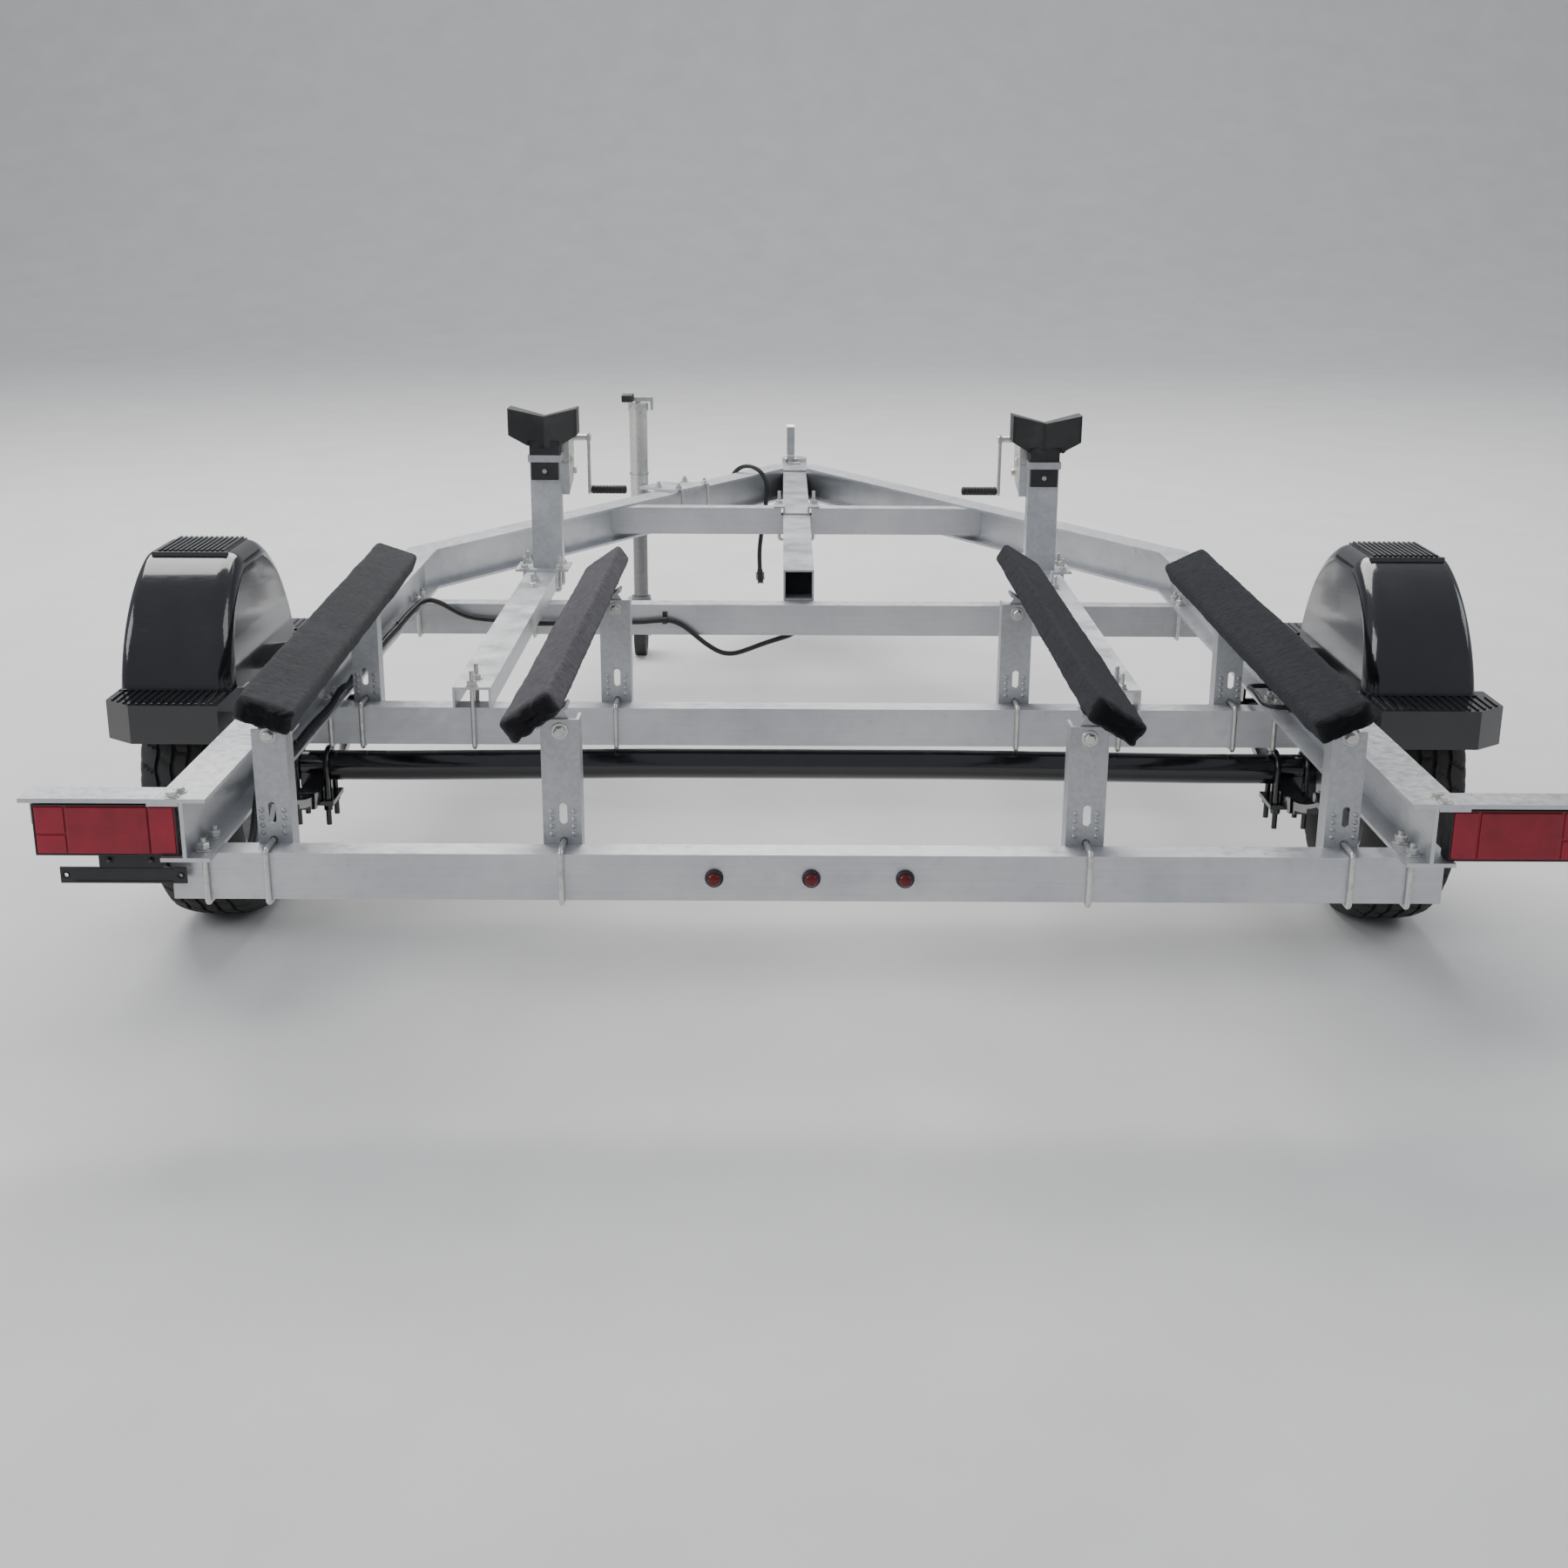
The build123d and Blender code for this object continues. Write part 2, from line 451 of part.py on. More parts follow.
for s_, (name, (xr, xf, z, tilt, yr, yf, pr, pf, leg)) in enumerate(BUNKS.items()):
    for j, (cm, xp) in enumerate((("rear", pr), ("axle", pf))):
        y = CM_Y[cm] + CM_D
        body = posts[2 * s_ + j]
        xs = xp + POST_SIZE[name][1]
        for zc, ln in ((Z_CM + 5.1, 11.4), (Z_CM + 49.5, 35), (Z_CM - CM_H - 5.1, 11.4)):
            r = 6.3
            hole = blk(xs - r, xs + r, y - 2, y + 8, zc - ln / 2 + r, zc + ln / 2 - r) if ln > 2 * r + 1 else None
            for e in ((-1, 1) if hole else (0,)):
                end = rod((xs, y - 2, zc + e * (ln / 2 - r)), (xs, y + 8, zc + e * (ln / 2 - r)), r)
                hole = hole + end if hole else end
            body = body - hole
        posts2.append(body)
put("bunk_posts", *posts2)

# ---------------------------------------------------------------- rails under the winch posts
rails = []
for side in ("left", "right"):
    x = RAIL_X[side]
    rails.append(blk(x - 38, x + 38, CM_Y["axle"] - 15, 236, Z_CM + E, RAIL_Z)
                 - blk(x - 33.5, x + 33.5, CM_Y["axle"] - 16, 237, Z_CM - 1, RAIL_Z - 5))
put("winch_rails", *rails)

# ---------------------------------------------------------------- winch posts, bow stops, winches
WIN_Y, WIN_Z = 288.0, 790.0            # crank shaft
GEAR_R, PIN_R = 45.0, 12.2
DRUM_Y, DRUM_Z = WIN_Y - 22.0, WIN_Z - 53.3
DRUM_R, CRANK_L = 36.0, 134.0
frames = []
for side, s in (("left", 1), ("right", -1)):
    x = POST_X[side]

    def X(a, b, s=s, x=x):
        return sorted((x + s * a, x + s * b))
    # channel post with its web to the rear, base plate on the rail
    zp = POST_TOP[side]
    post = blk(x - 38, x + 38, POST_Y, POST_Y + 45, RAIL_Z + 6, zp) - blk(x - 33, x + 33, POST_Y + 5, POST_Y + 50, RAIL_Z, 770)
    xr = RAIL_X[side]
    base = blk(xr - 67, xr + 67, POST_Y - 32, POST_Y + 76, RAIL_Z + E, RAIL_Z + 6)
    for q in (-1, 1):
        for yy in (POST_Y - 18, POST_Y + 62):
            base = base - rod((xr + q * 45, yy, RAIL_Z - 5), (xr + q * 45, yy, RAIL_Z + 12), 5.6)
    band = blk(x - 41, x + 41, POST_Y - 15, POST_Y + 50, zp - 18, zp - 0.5) - blk(x - 38, x + 38, POST_Y - 11, POST_Y + 50.5, zp - 23, zp + 7)
    tabs = blk(*X(-36, 56), POST_Y + 45, POST_Y + 50, 655, 735)
    put("winch_post_" + side, post + base + band + tabs)
    # rubber V bow stop on top, its foot clamped to the post's rear face
    v = xz([(x - 86, zp + 118), (x, zp + 95), (x + 86, zp + 118), (x + 86, zp + 52), (x + 37, zp + 22), (x + 37, zp + E), (x - 37, zp + E), (x - 37, zp + 22), (x - 86, zp + 52)], POST_Y - 34, POST_Y + 34)
    groove = plan([(x - 96, POST_Y - 40), (x + 96, POST_Y - 40), (x, POST_Y - 6)], 780, 900)
    v = v - groove
    v = v - blk(x - 40, x + 40, POST_Y - 36, POST_Y - 11 - E, zp - 63, zp + 37)
    v = v + blk(x - 34, x + 34, POST_Y - 10.7, POST_Y - E, zp - 63, zp + 3)
    put("bow_stop_" + side, v)
    # winch frame: back plate on the post and two side plates
    fr = blk(*X(-36, 56), POST_Y + 50.2, POST_Y + 55, 660, 820)
    for q0, q1 in ((-36, -31), (51, 56)):
        a, b = X(q0, q1)
        fr = fr + yz([(POST_Y + 50.2, 660), (POST_Y + 150, 680), (POST_Y + 176, 725), (POST_Y + 176, 800), (POST_Y + 150, 822), (POST_Y + 50.2, 822)], a, b)
    a, b = X(-34, 54)
    fr = fr + rod((a, POST_Y + 166, 700), (b, POST_Y + 166, 700), 6)
    for cy, cz, r in ((WIN_Y, WIN_Z, 8.06), (DRUM_Y, DRUM_Z, 10.06)):
        fr = fr - rod((x - 70, cy, cz), (x + 70, cy, cz), r)
    frames.append(fr)
    # drum with wound strap, gear at the crank side
    drum = rod((x - s * 42, DRUM_Y, DRUM_Z), (x + s * 62, DRUM_Y, DRUM_Z), 10) \
        + rod((x - s * 25, DRUM_Y, DRUM_Z), (x + s * 34, DRUM_Y, DRUM_Z), DRUM_R)
    gear = rod((x + s * 37, DRUM_Y, DRUM_Z), (x + s * 45, DRUM_Y, DRUM_Z), GEAR_R)
    core = rod((x - s * 25, DRUM_Y, DRUM_Z), (x + s * 45, DRUM_Y, DRUM_Z), 20)
    put("winch_drum_" + side, drum + gear + core)
    # crank: shaft with pinion, arm hanging down, grip pointing inboard
    cr = rod((x - s * 42, WIN_Y, WIN_Z), (x + s * 104, WIN_Y, WIN_Z), 8) \
        + rod((x + s * 36, WIN_Y, WIN_Z), (x + s * 46, WIN_Y, WIN_Z), PIN_R) \
        + blk(*X(96, 103), WIN_Y - 13, WIN_Y + 13, WIN_Z - CRANK_L - 12, WIN_Z + 13) \
        + rod((x + s * 100, WIN_Y, WIN_Z - CRANK_L), (x + s * 106, WIN_Y, WIN_Z - CRANK_L), 6) \
        + rod((x + s * 104, WIN_Y, WIN_Z - CRANK_L), (x + s * 196, WIN_Y, WIN_Z - CRANK_L), 11.5)
    put("winch_crank_" + side, cr)
put("winch_frames", *frames)

# ---------------------------------------------------------------- other U-bolts: table of (x, cross tube, top of the clamped flange)
for x in (-940, 940):
    for cm in ("rear", "axle", "mid"):
        y = CM_Y[cm]
        s = 1 if x > 0 else -1
        ubolts.append(bent([(x, y - 5.2, Z_CM + FLANGE_T + 20), (x, y - 5.2, Z_CM - CM_H - 5.2), (x, y + CM_D + 5.2, Z_CM - CM_H - 5.2),
                            (x, y + CM_D + 5.2, Z_CM + FLANGE_T + 20)], 4.5, 6))
for side in ("left", "right"):
    x = RAIL_X[side]
    for cm in ("axle", "mid"):
        y = CM_Y[cm]
        ubolts.append(bent([(x, y - 5.2, RAIL_Z + 24), (x, y - 5.2, Z_CM - CM_H - 5.2), (x, y + CM_D + 5.2, Z_CM - CM_H - 5.2),
                            (x, y + CM_D + 5.2, RAIL_Z + 24)], 4.5, 6))
    for yy in (POST_Y - 18, POST_Y + 62):
        ubolts.append(bent([(x - 45, yy, RAIL_Z + 34), (x - 45, yy, Z_CM - 5.2), (x + 45, yy, Z_CM - 5.2), (x + 45, yy, RAIL_Z + 34)], 4.8, 6.5))

ux, uy = TONGUE_U
ubolts.append(bent([(-ux, uy, 560), (-ux, uy, Z_CM - 5.6), (ux, uy, Z_CM - 5.6), (ux, uy, 560)], 5.0, 6.5))

# holes for the U-bolts in the beam flanges and the rails
for side, s in (("left", -1), ("right", 1)):
    body = NODES["beam_" + side]
    for cm in CM_Y:
        for yy in (CM_Y[cm] - 5.2, CM_Y[cm] + CM_D + 5.2):
            body = body - rod((s * 940, yy, Z_CM - 3), (s * 940, yy, Z_CM + 12), 5.2)
    put("beam_" + side, body)
rails2 = []
for side, body in zip(("left", "right"), rails):
    x = RAIL_X[side]
    for cm in ("axle", "mid"):
        for yy in (CM_Y[cm] - 5.2, CM_Y[cm] + CM_D + 5.2):
            body = body - rod((x, yy, RAIL_Z - 12), (x, yy, RAIL_Z + 12), 5.2)
    rails2.append(body)
put("winch_rails", *rails2)

# ---------------------------------------------------------------- jack on the outer side of the left inclined beam
JW = (web_x(JACK_T), JACK_T)                       # on the web
JX, JY = JW[0] + N[0] * JACK_OFF, JW[1] + N[1] * JACK_OFF
PIV_Z = 475.0
JACK_R, LEG_R = 27.5, 22.0


def at(o, t, z):
    """point at offset o outwards from the web and t along the beam from the jack's station"""
    return (JW[0] + N[0] * o + U[0] * t, JW[1] + N[1] * o + U[1] * t, z)


def oblong(o0, o1, t0, t1, z0, z1):
    return plan([at(o0, t0, 0)[:2], at(o1, t0, 0)[:2], at(o1, t1, 0)[:2], at(o0, t1, 0)[:2]], z0, z1)


mount = oblong(38.5, 44.5, -70, 106, 418, 534) + oblong(-42, 100, -62, 62, Z_CM + BEAM_H + E, 534) + oblong(-42, 44.5, -70, 106, Z_CM + BEAM_H + E, 534)
mount = mount + oblong(-42, 44.5, -70, 106, 416, Z_CM - E) - oblong(-30, 30, -38, 76, 400, Z_CM)
mount = mount + rod(at(44, 0, PIV_Z), at(JACK_OFF - 36.6, 0, PIV_Z), 34) + rod(at(44, 0, PIV_Z), at(JACK_OFF - 25, 0, PIV_Z), 14)
put("jack_mount", mount)
JT_TOP = 760.0
jt = rod(at(JACK_OFF - 36, 0, PIV_Z), at(JACK_OFF - 14, 0, PIV_Z), 36) + rod((JX, JY, 400), (JX, JY, JT_TOP), JACK_R)
jt = jt - rod((JX, JY, 390), (JX, JY, JT_TOP - 4), 23.2) - rod(at(50, 0, PIV_Z), at(JACK_OFF - 24.6, 0, PIV_Z), 14.06)
jt = jt + rod((JX, JY, JT_TOP - 6), (JX, JY, JT_TOP + 16), 31)
# crank: arm across the cap, its right end turned down, a grip lying level at the left end
jt = jt + rod((JX, JY, JT_TOP + 14), (JX, JY, JT_TOP + 32), 8) + blk(JX - 46, JX + 46, JY - 8, JY + 8, JT_TOP + 22, JT_TOP + 34) \
    + blk(JX + 38, JX + 46, JY - 8, JY + 8, JT_TOP - 4, JT_TOP + 34) \
    + Plane(origin=(JX - 28, JY - 74, JT_TOP + 36), x_dir=(1, 0, 0), z_dir=(0, 1, 0)) * extrude(RectangleRounded(32, 20, 9), 82)
put("jack_tube", jt)
FORK_Z, JWHEEL_R, TRAIL = 174.0, 75.0, 24.0
put("jack_leg", rod((JX, JY, FORK_Z + 6), (JX, JY, 560), LEG_R) + rod((JX, JY, FORK_Z), (JX, JY, FORK_Z + 8), 30))
WY = JY - TRAIL
fork = rod((JX, JY, FORK_Z - 0.6), (JX, JY, FORK_Z - 9), 30)
fork = fork + rod((JX, JY, FORK_Z - 0.6), (JX, JY, FORK_Z + 36), 9)
NODES["jack_leg"] = (NODES["jack_leg"] - rod((JX, JY, FORK_Z - 5), (JX, JY, FORK_Z + 37), 9.06)).solids()[0]
fork = fork + blk(JX - 31, JX + 31, WY - 26, JY + 28, FORK_Z - 14, FORK_Z - 8.5)
for q in (-1, 1):
    a, b = sorted((JX + q * 31, JX + q * 26))
    fork = fork + yz([(WY - 26, FORK_Z - 10), (JY + 28, FORK_Z - 10), (WY + 14, 62), (WY - 14, 62)], a, b)
fork = fork + rod((JX - 34, WY, JWHEEL_R), (JX + 34, WY, JWHEEL_R), 6)
# keep the wheel's room free
fork = fork - rod((JX - 25.9, WY, JWHEEL_R), (JX + 25.9, WY, JWHEEL_R), 82) + rod((JX - 34, WY, JWHEEL_R), (JX + 34, WY, JWHEEL_R), 6)
put("jack_fork", fork)
jw = rod((JX - 18, WY, JWHEEL_R), (JX + 18, WY, JWHEEL_R), JWHEEL_R) - rod((JX - 30, WY, JWHEEL_R), (JX + 30, WY, JWHEEL_R), 6.06)
jw = jw + ring((JX - 21, WY, JWHEEL_R), (JX + 21, WY, JWHEEL_R), 16, 6.06)
put("jack_wheel", jw)

# ---------------------------------------------------------------- wiring
CORD_R, LOOP_R, LEAD_R = 6.5, 5.0, 7.0
y = CM_Y["mid"] - 9.6
# route: out of the web, along the rear face of the middle cross tube, hanging below it, then up into the tongue tube
LOOM = [(-900, -1867, 392), (-900, -1833, 392), (-901, -1798, 400), (-905, -1765, 417), (-909, -1733, 435), (-914, -1700, 446), (-921, -1664, 446),
        (-927, -1620, 440), (-930, -1560, 438), (-932, -1480, 437.8), (-929, -1370, 437.6), (-932, -1250, 438), (-928, -1150, 439),
        (-923, -1090, 442), (-922.5, -1046, 452), (-922.5, -990, 452), (-924, -944, 442), (-929, -880, 438), (-933, -760, 437.6), (-930, -630, 438), (-933, -500, 437.6), (-930, -370, 438),
        (-931, -250, 437.6), (-927, -170, 439), (-919, -118, 443), (-902, -86, 441), (-878, y - 8, 428), (-852, y - 4, 411), (-826, y - 3, 397), (-800, y - 1, 390), (-772, y - 1, 387),
        (-732, y - 3, 385), (-696, y - 11, 383), (-655, y - 14, 380), (-614, y - 12, 379), (-566, y - 4, 381), (-508, y, 379), (-450, y - 1, 383), (-394, y, 381),
        (-350, y - 0.5, 386), (-312, y - 0.6, 386.6), (-282, y - 2, 372), (-256, y - 4, 350), (-226, y - 6, 326), (-192, y - 8, 306), (-160, y - 4, 303),
        (-126, y + 2, 313), (-90, y + 12, 325), (-54, y + 30, 333), (-24, y + 62, 335), (-8, y + 97, 337), (-1, y + 130, 343), (0, y + 155.4, 354.8), (0, y + 174.1, 375.6), (0, y + 183.7, 401.9), (0, y + 183.7, 417.8)]
# short loop out of the right beam, over the axle cross tube and back
LOOP = [(949, -1112, 450), (926, -1112, 450), (910.4, -1103, 451), (901.4, -1087.4, 453), (901, -1057, 456.5), (901, -1027, 458), (901, -997, 456.5),
        (901.4, -966.6, 453), (910.4, -951, 451), (926, -942, 450), (949, -942, 450)]
put("wire_loom", cord("loom", LOOM, CORD_R))
put("wire_loop", cord("loop", LOOP, LOOP_R))
clips = []
for xc, yc, zc in ((-508, y - 0.35, 379.4), (-331, y - 0.5, 386.0)):
    clips.append(ring((xc - 6, yc, zc), (xc + 6, yc, zc), 9.3, 7.4) + blk(xc - 6, xc + 6, yc + 7.0, CM_Y["mid"] - E, zc - 9, zc + 20)
                 - rod((xc - 9, yc, zc), (xc + 9, yc, zc), 7.4))
put("wire_clips", *clips)

# tow lead: out of the outer side of the left inclined beam, over its top flange and down inside
LT = 1500.0
LW = (web_x(LT), LT)


def lp(o, t, z):
    return (LW[0] + N[0] * o + U[0] * t, LW[1] + N[1] * o + U[1] * t, z)


LEAD = [lp(*p) for p in ((7, -6, 446), (39.6, -6, 446), (56.4, -6, 455.7), (66, -6, 472.4), (66, -5.5, 499.7), (48.3, -4.5, 530.3), (17.7, -3, 548),
                         (-17.7, -1, 548), (-48.3, 1, 530.3), (-66, 2.5, 499.7), (-66, 2, 462), (-64, -2, 425), (-61, -7, 390), (-58, -13, 355), (-56, -19, 322),
                         (-56, -26, 290), (-60, -34, 257), (-67, -42, 225))]
put("tow_lead", cord("lead", LEAD, LEAD_R))
d = (Vector(*LEAD[-1]) - Vector(*LEAD[-2])).normalized()
pe = Vector(*LEAD[-1])
pl = Plane(origin=pe, z_dir=d)
plug = extrude(pl * RectangleRounded(27, 18, 5), 42) + extrude(pl * Circle(8.8), 6)
put("tow_plug", plug)
put("wire_grommets", ring(lp(3 + E, -6, 446), lp(7, -6, 446), 12, 3.0), ring((0, y + 183.7, 417.8), (0, y + 183.7, Z_CM - E), 12, 3.0),
    ring((-900, CM_Y["rear"] + CM_D + E, 392), (-900, -1867, 392), 12, 3.0),
    ring((BEAM_X - 3 - E, -1112, 450), (949, -1112, 450), 10, 3.0), ring((BEAM_X - 3 - E, -942, 450), (949, -942, 450), 10, 3.0))

# the remaining U-bolts share one node
put("u_bolts", *ubolts)

for name, shape in NODES.items():
    export_step(shape, "parts/" + name + ".step")
print(len(NODES), "nodes; jack at %.1f %.1f" % (JX, JY))
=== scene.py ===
import bpy, bmesh, math, random
from mathutils import Vector, Matrix, noise


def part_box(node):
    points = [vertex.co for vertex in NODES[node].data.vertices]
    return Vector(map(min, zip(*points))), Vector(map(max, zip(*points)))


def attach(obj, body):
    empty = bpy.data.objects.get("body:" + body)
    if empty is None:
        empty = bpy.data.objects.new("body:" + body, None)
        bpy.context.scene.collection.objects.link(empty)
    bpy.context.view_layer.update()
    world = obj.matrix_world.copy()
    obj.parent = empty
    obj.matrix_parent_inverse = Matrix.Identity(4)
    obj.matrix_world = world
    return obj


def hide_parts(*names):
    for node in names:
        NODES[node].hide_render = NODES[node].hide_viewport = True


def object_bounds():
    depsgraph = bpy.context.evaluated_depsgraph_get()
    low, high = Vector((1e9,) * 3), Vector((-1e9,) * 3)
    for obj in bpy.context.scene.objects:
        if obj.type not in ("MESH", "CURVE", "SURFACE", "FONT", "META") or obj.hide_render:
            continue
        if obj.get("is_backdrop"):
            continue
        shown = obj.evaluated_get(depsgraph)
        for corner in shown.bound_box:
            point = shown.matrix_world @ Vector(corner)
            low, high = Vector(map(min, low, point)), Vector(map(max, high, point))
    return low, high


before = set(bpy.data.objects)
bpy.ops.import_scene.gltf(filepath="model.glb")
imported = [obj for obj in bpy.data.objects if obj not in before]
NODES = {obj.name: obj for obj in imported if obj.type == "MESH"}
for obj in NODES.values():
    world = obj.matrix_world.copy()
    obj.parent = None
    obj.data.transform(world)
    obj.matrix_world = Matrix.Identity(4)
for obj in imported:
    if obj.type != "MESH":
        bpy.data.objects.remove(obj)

CAD_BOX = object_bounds()
random.seed(7)
D = bpy.data
COL = bpy.context.scene.collection


# ------------------------------------------------------------------ camera
def set_camera():
    cam = D.cameras.new("camera")
    cam.lens, cam.sensor_width, cam.sensor_height, cam.sensor_fit = 45.0, 36.0, 36.0, "HORIZONTAL"
    cam.clip_start, cam.clip_end = 0.05, 200
    ob = D.objects.new("camera", cam)
    COL.objects.link(ob)
    right = Vector((0.999988, -0.0007722, 0.0048351))
    down = Vector((0.0043905, -0.295715, -0.9552661))
    fwd = Vector((0.0021675, 0.9552759, -0.2957081))
    m = Matrix((right, -down, -fwd)).transposed().to_4x4()
    m.translation = Vector((-0.045, -4.811, 1.434))
    ob.matrix_world = m
    bpy.context.scene.camera = ob


set_camera()


# ------------------------------------------------------------------ materials
def node(nt, kind, **kw):
    n = nt.nodes.new(kind)
    for k, v in kw.items():
        if k == "inputs":
            for i, val in v.items():
                n.inputs[i].default_value = val
        else:
            setattr(n, k, v)
    return n


class Mat:
    """a Principled material with helpers for procedural colour, roughness and bump in object space"""
    def __init__(self, name, color, metallic=0.0, rough=0.5, **sockets):
        self.m = D.materials.new(name)
        self.m.use_nodes = True
        nt = self.nt = self.m.node_tree
        self.b = nt.nodes["Principled BSDF"]
        self.b.inputs["Base Color"].default_value = (*color, 1)
        self.b.inputs["Metallic"].default_value = metallic
        self.b.inputs["Roughness"].default_value = rough
        for k, v in sockets.items():
            self.b.inputs[k.replace("_", " ")].default_value = v
        self.tc = node(nt, "ShaderNodeTexCoord")
        self.height = None
        self.maps = {}

    def coords(self, scale):
        if scale not in self.maps:
            mp = node(self.nt, "ShaderNodeMapping")
            mp.inputs["Scale"].default_value = scale
            self.nt.links.new(self.tc.outputs["Object"], mp.inputs["Vector"])
            self.maps[scale] = mp
        return self.maps[scale].outputs["Vector"]

    def noise(self, scale=(1, 1, 1), freq=10.0, detail=4.0, rough=0.55):
        n = node(self.nt, "ShaderNodeTexNoise", inputs={"Scale": freq, "Detail": detail, "Roughness": rough})
        self.nt.links.new(self.coords(scale), n.inputs["Vector"])
        return n.outputs["Fac"]

    def voronoi(self, scale=(1, 1, 1), freq=60.0, feature="F1", out="Distance"):
        n = node(self.nt, "ShaderNodeTexVoronoi", feature=feature)
        n.inputs["Scale"].default_value = freq
        self.nt.links.new(self.coords(scale), n.inputs["Vector"])
        return n.outputs[out]

    def wave(self, direction="X", freq=100.0, distortion=0.0, scale=(1, 1, 1)):
        n = node(self.nt, "ShaderNodeTexWave", wave_type="BANDS", bands_direction=direction)
        n.inputs["Scale"].default_value = freq
        n.inputs["Distortion"].default_value = distortion
        self.nt.links.new(self.coords(scale), n.inputs["Vector"])
        return n.outputs["Fac"]

    def ramp(self, fac, stops):
        r = node(self.nt, "ShaderNodeValToRGB")
        cr = r.color_ramp
        while len(cr.elements) < len(stops):
            cr.elements.new(0.5)
        for e, (p, c) in zip(cr.elements, stops):
            e.position = p
            e.color = (*c, 1) if hasattr(c, "__len__") else (c, c, c, 1)
        self.nt.links.new(fac, r.inputs["Fac"])
        return r.outputs["Color"]

    def mix(self, fac, a, b, blend="MIX"):
        x = node(self.nt, "ShaderNodeMix", data_type="RGBA", blend_type=blend)
        for s, v in ((x.inputs[0], fac), (x.inputs[6], a), (x.inputs[7], b)):
            if isinstance(v, (int, float)):
                s.default_value = v
            elif isinstance(v, tuple):
                s.default_value = (*v, 1)
            else:
                self.nt.links.new(v, s)
        return x.outputs[2]

    def color(self, out):
        self.nt.links.new(out, self.b.inputs["Base Color"])
        return self

    def rough(self, fac, lo, hi, a=0.35, b=0.65):
        mr = node(self.nt, "ShaderNodeMapRange")
        mr.inputs["From Min"].default_value, mr.inputs["From Max"].default_value = a, b
        mr.inputs["To Min"].default_value, mr.inputs["To Max"].default_value = lo, hi
        self.nt.links.new(fac, mr.inputs["Value"])
        self.nt.links.new(mr.outputs["Result"], self.b.inputs["Roughness"])
        return self

    def bump(self, fac, strength=0.2, dist=0.001):
        bp = node(self.nt, "ShaderNodeBump")
        bp.inputs["Strength"].default_value = strength
        bp.inputs["Distance"].default_value = dist
        self.nt.links.new(fac, bp.inputs["Height"])
        if self.height is not None:
            self.nt.links.new(self.height, bp.inputs["Normal"])
        self.height = bp.outputs["Normal"]
        self.nt.links.new(self.height, self.b.inputs["Normal"])
        return self


def aluminium(name, stretch):
    """mill-finish extrusion: faint die lines along the run, soft stains, a little grey bloom"""
    m = Mat(name, (0.58, 0.59, 0.61), metallic=0.86, rough=0.38, Specular_IOR_Level=0.5)
    big = m.noise(freq=2.6, detail=5, rough=0.6)
    lines = m.noise(scale=stretch, freq=260, detail=3)
    spots = m.noise(freq=55, detail=6, rough=0.7)
    base = m.ramp(big, [(0.30, (0.44, 0.45, 0.475)), (0.52, (0.58, 0.59, 0.61)), (0.72, (0.68, 0.69, 0.70))])
    base = m.mix(0.12, base, m.ramp(lines, [(0.3, (0.36, 0.37, 0.39)), (0.7, (0.74, 0.75, 0.77))]))
    base = m.mix(m.ramp(spots, [(0.60, 0.0), (0.74, 0.35)]), base, (0.40, 0.40, 0.40))
    m.color(base).rough(spots, 0.34, 0.50).bump(lines, 0.08, 0.0004).bump(spots, 0.05, 0.0006)
    return m.m


def galvanised(name, bright=1.0, freq=95.0):
    """hot-dip zinc: spangle, cloudy patches, dull white bloom"""
    c = lambda v, t=0.0: (v * bright, (v + 0.008 + t) * bright, (v + 0.022 + t) * bright)
    m = Mat(name, c(0.50), metallic=0.80, rough=0.42)
    spangle = m.voronoi(freq=freq, out="Color")
    sp = node(m.nt, "ShaderNodeRGBToBW")
    m.nt.links.new(spangle, sp.inputs["Color"])
    cloud = m.noise(freq=9, detail=6, rough=0.62)
    grime = m.noise(freq=34, detail=8, rough=0.72)
    base = m.ramp(cloud, [(0.30, c(0.41)), (0.52, c(0.49)), (0.75, c(0.57))])
    base = m.mix(0.17, base, m.ramp(sp.outputs["Val"], [(0.2, c(0.34)), (0.8, c(0.66))]))
    base = m.mix(m.ramp(grime, [(0.60, 0.0), (0.80, 0.32)]), base, (0.34 * bright, 0.34 * bright, 0.335 * bright))
    m.color(base).rough(cloud, 0.34, 0.50).bump(sp.outputs["Val"], 0.05, 0.0004).bump(grime, 0.08, 0.0006)
    return m.m


def zinc():
    m = Mat("bright_zinc", (0.62, 0.62, 0.60), metallic=0.9, rough=0.32)
    n = m.noise(freq=70, detail=6, rough=0.65)
    t = m.noise(freq=12, detail=3)
    base = m.mix(m.ramp(n, [(0.5, 0.0), (0.75, 0.6)]), m.ramp(t, [(0.3, (0.55, 0.56, 0.55)), (0.7, (0.68, 0.67, 0.63))]), (0.36, 0.34, 0.31))
    m.color(base).rough(n, 0.26, 0.5).bump(n, 0.08, 0.0004)
    return m.m


def black_paint():
    m = Mat("black_paint", (0.008, 0.008, 0.010), rough=0.14, Coat_Weight=0.5, Coat_Roughness=0.08)
    dust = m.noise(freq=18, detail=7, rough=0.7)
    peel = m.noise(freq=420, detail=2)
    m.color(m.ramp(dust, [(0.45, (0.006, 0.006, 0.008)), (0.66, (0.010, 0.010, 0.012)), (0.86, (0.036, 0.033, 0.030))]))
    m.rough(dust, 0.10, 0.28).bump(peel, 0.05, 0.0003)
    return m.m


